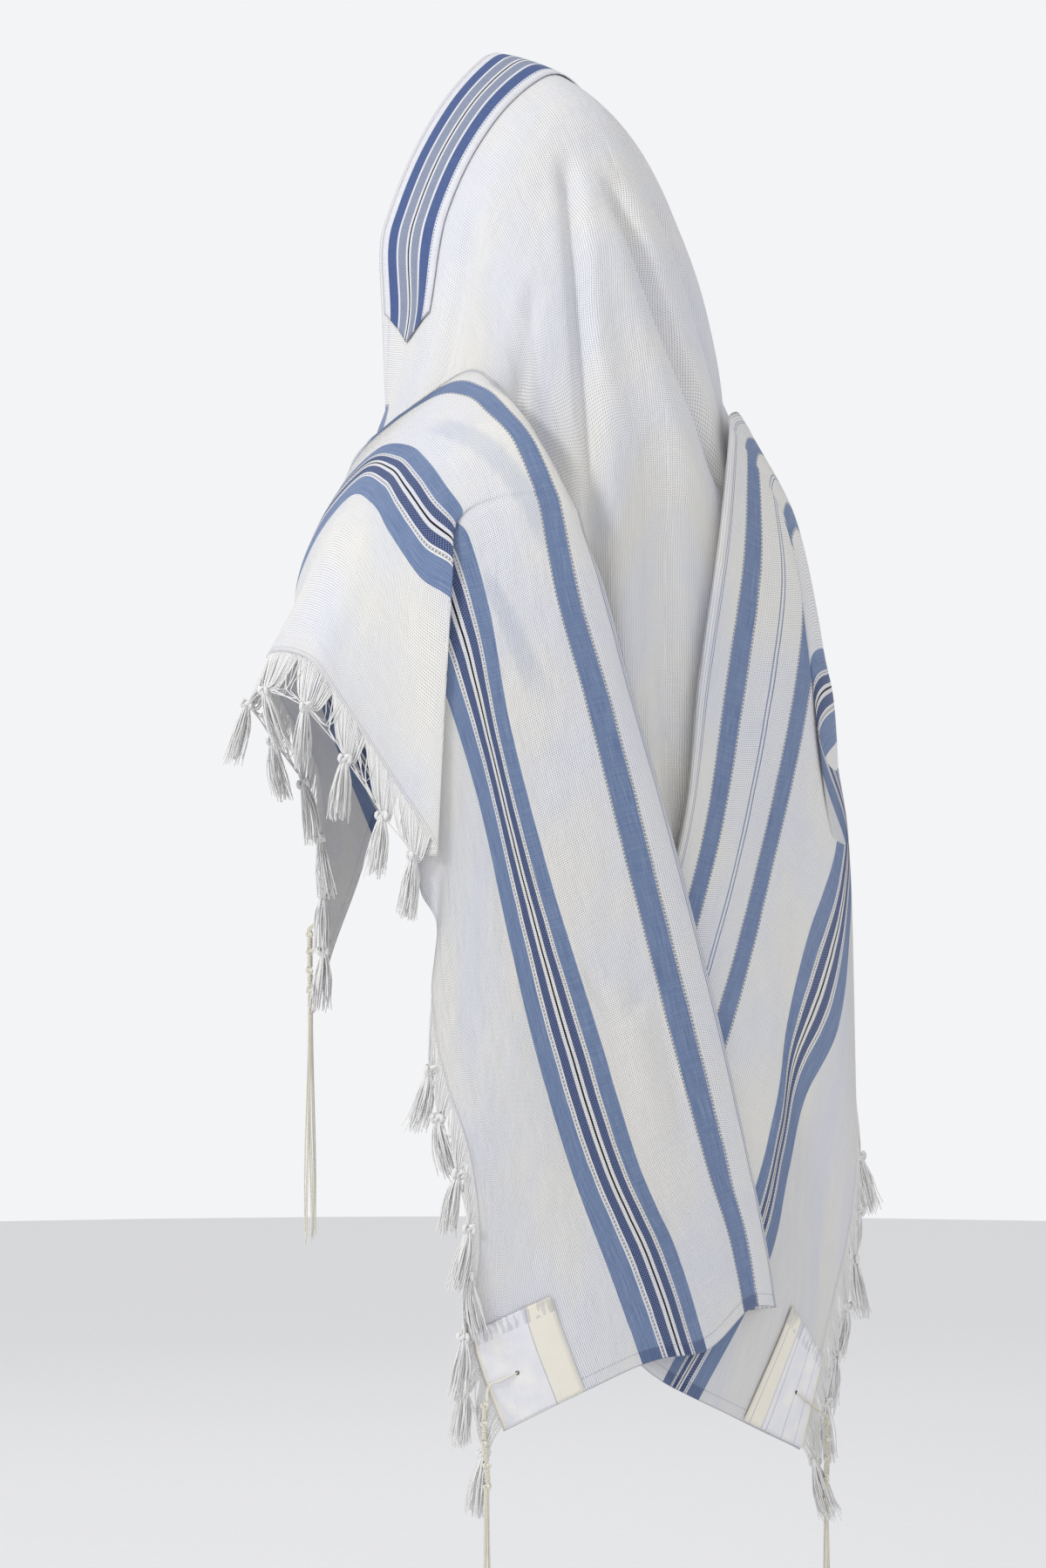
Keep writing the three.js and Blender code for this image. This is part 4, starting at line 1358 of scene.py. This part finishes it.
@dataclass
class Fringe:
    """A run of knotted fringe: groups of yarn from the hem, a knot and a soft tassel each."""

    name: str
    cloth: SideCloth
    start: float
    stop: float
    seed: int
    spacing: float = 50.0
    net: float = 40.0  # from the hem to a knot
    tassel: float = 51.0  # from a knot to the tips
    yarns: int = 30
    threads: int = 48
    lean: float = 0.3  # how far the fringe leans out for each mm down

    def build(self, yarn: bpy.types.Material) -> bpy.types.Object:
        """Builds the run of fringe."""
        rng = np.random.default_rng(self.seed)
        rows = np.linspace(self.start, self.stop, 600)
        hem = self.cloth.drape.at(np.zeros_like(rows), rows)
        out = unit(hem - self.cloth.drape.at(np.full_like(rows, 0.1), rows))
        normal = self.cloth.drape.normal(np.zeros_like(rows), rows)
        gone = np.concatenate([[0], np.cumsum(np.linalg.norm(np.diff(hem, axis=0), axis=1))])
        count = max(1, round(gone[-1] / self.spacing))
        gap = gone[-1] / count
        bundle = StrandBundle(sides=4)

        def place(distance: float) -> tuple[Array, Array, Array]:
            """Gives the hem, its outward and its facing direction at a distance."""
            return tuple(
                np.array([np.interp(distance, gone, field[:, k]) for k in range(3)])
                for field in (hem, out, normal)
            )

        knots = []
        for i in range(count):
            middle, away, face = place((i + 0.5 + rng.uniform(-0.12, 0.12)) * gap)
            hang = away * self.lean + np.array([0, 0, -1.0])
            hang = unit(hang - face * min(0.0, float(hang @ face)))
            knots.append(middle + hang * self.net * rng.uniform(0.88, 1.08) + face * rng.uniform(0.6, 3.0))
        for i, knot in enumerate(knots):
            self._gather(bundle, rng, place, knots, i, gap)
            down = unit(np.array([rng.uniform(-0.22, 0.22), rng.uniform(-0.22, 0.22), -1.0]))
            phase = rng.uniform(0, 6)
            for turn in (0.0, 2.1):
                bundle.add(knot_path(knot, down, 6.0, phase + turn, 22), 2.3)
            self._tail(bundle, rng, knot, down)
        piece = bundle.build(f"fringe_{self.name}_yarn", yarn)
        declare(piece, "fringe", f"fringe_{self.name}")
        return piece

    def _gather(
        self,
        bundle: StrandBundle,
        rng: np.random.Generator,
        place: Callable[[float], tuple[Array, Array, Array]],
        knots: list[Array],
        index: int,
        gap: float,
    ) -> None:
        """Brings the yarns of one stretch of hem to their knot, some by way of the next one."""
        knot = knots[index]
        for k in range(self.yarns):
            share = (k + 0.5) / self.yarns - 0.5
            middle, away, face = place((index + 0.5 + share * 1.08) * gap)
            sag = np.array([0, 0, -1.0]) * rng.uniform(5, 11) + away * rng.uniform(3, 7)
            face_out = face * rng.uniform(-0.6, 2.2)
            half = mix(middle, knot, 0.5) + sag + face_out
            near = mix(middle, knot, 0.85) + sag * 0.35 + face_out * 0.5
            early = mix(middle, half, 0.5) + away * 1.5
            path = curve_through([middle - away * 1.5, early, half, near, knot], 9)
            bundle.add(path, rng.uniform(0.5, 0.8))
        if index + 1 < len(knots):
            for _ in range(5):
                to = mix(knot, knots[index + 1], 0.5)
                middle, away, face = place((index + 1 + rng.uniform(-0.35, 0.35)) * gap)
                low = mix(middle, to, 0.75) + np.array([0, 0, -1.0]) * rng.uniform(0, 5) + face
                ends = (knot, knots[index + 1])
                on_the_way = mix(low, ends[rng.integers(2)], 0.6)
                path = curve_through([middle, low, on_the_way, ends[rng.integers(2)]], 9)
                bundle.add(path, rng.uniform(0.4, 0.65))

    def _tail(self, bundle: StrandBundle, rng: np.random.Generator, knot: Array, down: Array) -> None:
        """Lets the soft threads fall from a knot."""
        side = unit(np.cross(down, np.array([1.0, 0.3, 0.0])))
        other = np.cross(down, side)
        bend = side * rng.uniform(-6, 6) + other * rng.uniform(-6, 6)
        for _ in range(self.threads):
            angle, out = rng.uniform(0, 2 * math.pi), math.sqrt(rng.uniform(0.02, 1))
            ring = side * math.cos(angle) + other * math.sin(angle)
            length = self.tassel * rng.uniform(0.84, 1.08)
            t = np.linspace(0, 1, 8)[:, None]
            swell = np.sin(np.minimum(t * 1.5, 1) * math.pi / 2)
            wide = out * (2.6 + 6.4 * swell) + 2.0 * t**3 * rng.normal()
            wave = 0.5 * np.sin(t * rng.uniform(6, 12) + rng.uniform(0, 6))
            path = knot + down * (t * length + 2) + ring * wide + other * wave + bend * t**2
            bundle.add(path, 0.75 * (1.08 - 0.45 * t[:, 0]))


# ---------------------------------------------------------------------------------------------
# Studio
# ---------------------------------------------------------------------------------------------


@dataclass(frozen=True)
class SoftBox:
    """A big soft light that points at the shawl."""

    name: str
    place: tuple[float, float, float]
    size: float
    power: float

    def build(self, target: Vector) -> None:
        """Adds the light."""
        data = bpy.data.lights.new(self.name, "AREA")
        data.shape = "DISK"
        data.size = self.size
        data.energy = self.power
        light = bpy.data.objects.new(self.name, data)
        light.location = self.place
        light.rotation_euler = (target - Vector(self.place)).to_track_quat("-Z", "Y").to_euler()
        bpy.context.scene.collection.objects.link(light)


@dataclass(frozen=True)
class Studio:
    """Camera, lights, pale surroundings and floor."""

    target: tuple[float, float, float] = (0.0158, -0.0123, -0.651)
    away: tuple[float, float, float] = (0.616, 0.788, 0.0)
    distance: float = 4.0
    lens: float = 99.31
    turn: float = 142.0
    floor_drop: float = 1.75
    floor_reach: float = 7000.0  # mm
    floor_sides: int = 96
    surround: float = 0.92  # how bright the surroundings look
    ambient: float = 0.74  # how strongly they light the cloth
    boxes: tuple[SoftBox, ...] = (
        SoftBox("key", (3.4, 0.2, 1.5), 0.8, 56),
        SoftBox("fill", (-1.2, 3.6, 0.6), 2.0, 3),
        SoftBox("front", (-1.6, -3.0, 0.9), 2.0, 8),
    )

    def build_camera(self) -> None:
        """Sets the camera."""
        data = bpy.data.cameras.new("camera")
        data.lens = self.lens
        data.sensor_width = 36
        camera = bpy.data.objects.new("camera", data)
        camera.location = Vector(self.target) + Vector(self.away) * self.distance
        camera.rotation_euler = (math.radians(90), 0, math.radians(self.turn))
        bpy.context.scene.collection.objects.link(camera)
        bpy.context.scene.camera = camera

    def build(self) -> None:
        """Adds the lights, the surroundings and the floor."""
        for box in self.boxes:
            box.build(Vector(self.target))
        world = bpy.data.worlds.new("studio")
        world.use_nodes = True
        sh = Shader.on(world.node_tree)
        seen, cast = (
            sh.node("ShaderNodeBackground", {}, {"Color": (0.98, 0.985, 1.0, 1.0), "Strength": strength})
            for strength in (self.surround, self.ambient)
        )
        direct = Value(sh, sh.node("ShaderNodeLightPath", {}, {}).outputs["Is Camera Ray"])
        mixed = {0: direct, 1: Value(sh, cast.outputs[0]), 2: Value(sh, seen.outputs[0])}
        both = sh.node("ShaderNodeMixShader", {}, mixed)
        sh.tree.links.new(both.outputs[0], sh.tree.nodes["World Output"].inputs["Surface"])
        bpy.context.scene.world = world
        bpy.context.scene.view_settings.view_transform = "Standard"
        sides = self.floor_sides
        angle = np.linspace(0, 2 * math.pi, sides + 1)[:-1]
        x, y = (self.floor_reach * way(angle) for way in (np.cos, np.sin))
        ring = np.stack([x, y, np.full(sides, -self.floor_drop / MM)], axis=1)
        floor = new_piece("floor", ring, np.arange(sides)[None], StudioFloor().material())


# ---------------------------------------------------------------------------------------------
# The whole shawl
# ---------------------------------------------------------------------------------------------


@dataclass
class Shawl:
    """The shawl with everything on it."""

    hood: HoodCloth
    left: SideCloth
    right: SideCloth

    @classmethod
    def laid_out(cls) -> "Shawl":
        """Lays out the three parts of the cloth."""
        cell = 5.0
        left = SideCloth(
            name="left_cloth",
            node="left_side",
            rows=LEFT_ROWS,
            side=-1.0,
            cover=lambda turn: float(mix(8.0, 23.0, smooth(-78, -40, -turn))),
            threads=(0, 155, 225, 310, 352, 368, 455),
            creases=(
                Crease((234, 940), (247, 1004), 3.0, 7, 30),
                Crease((247, 1004), (294, 984), 3.2, 6, 30),
                Crease((292, 990), (282, 1150), 3.0, 9, 50),
                Crease((225, 1160), (238, 1204), 2.4, 6, 25),
                Crease((318, 1170), (344, 1256), 2.2, 9, 40),
                Crease((262, 985), (256, 1130), -2.0, 13, 50),
            ),
            ghosts=(
                ((253, 417), (270, 470), (281, 513), (290, 545), (295, 575), (308, 624)),
                ((225, 578), (242, 626), (253, 673), (262, 705), (265, 727)),
            ),
            flat=(0.455, 1.307),
            area=0.565,
            cell=cell,
        )
        right = SideCloth(
            name="right_cloth",
            node="right_side",
            rows=RIGHT_ROWS,
            side=1.0,
            cover=lambda turn: 8.0,
            threads=(0, 155, 225, 310, 430, 446, 520),
            still=(5, 9),
            flat=(0.52, 1.285),
            area=0.62,
            cell=cell,
        )
        return cls(HoodCloth(cell=cell), left, right)

    def corners(self) -> tuple[Corner, ...]:
        """Gives the four corners."""
        plain, seamed = PatchSatin(), PatchSatin(70, 1.0)
        return (
            Corner("left_front", self.left, 0, 1, plain, 1),
            Corner("left_back", self.left, self.left.drape.along, -1, plain, 2),
            Corner("right_front", self.right, 0, 1, seamed, 3),
            Corner("right_back", self.right, self.right.drape.along, -1, seamed, 4),
        )

    def fringes(self) -> tuple[Fringe, ...]:
        """Gives the runs of fringe."""
        return (
            Fringe("left_upper", self.left, 0.35, 7.7, 11),
            Fringe("left_lower", self.left, 12, self.left.drape.along - 0.1, 12),
            Fringe("right_front", self.right, 0.35, 5, 13),
            Fringe("right_back", self.right, 7.2, self.right.drape.along - 0.1, 14),
        )

    def build(self) -> None:
        """Builds every piece and reports it."""
        string = TwistedYarn("tassel_string", STRING_WHITE, STRING_SHADE, 1.1).material()
        corners = self.corners()
        for corner in corners:
            corner.build_strings(string)
            LOG.info("strings %s", corner.name)
        wool = WovenCloth().material()
        hood = self.hood.build(wool)
        sides = {side.name: side.build(wool) for side in (self.left, self.right)}
        LOG.info("cloth built")
        band = Neckband(self.hood).build(NeckbandWeave().material())
        LOG.info("neckband built")
        yarn = TwistedYarn("fringe_yarn", YARN_WHITE, YARN_SHADE, 1.3).material()
        thread = EyeletThreadAndHoleShade().material()
        on_side: dict[str, list[bpy.types.Object]] = {name: [] for name in sides}
        for corner in corners:
            pieces = [corner.build_patch(), corner.build_eyelet(thread), corner.build_winding(string)]
            on_side[corner.cloth.name].extend(pieces)
            LOG.info("corner %s", corner.name)
        for fringe in self.fringes():
            on_side[fringe.cloth.name].append(fringe.build(yarn))
            LOG.info("fringe %s", fringe.name)


def main() -> None:
    """Builds the shawl in its studio."""
    logging.basicConfig(level=logging.INFO, format="%(message)s")
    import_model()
    studio = Studio()
    studio.build_camera()
    Shawl.laid_out().build()
    studio.build()


if __name__ == "__main__":
    main()
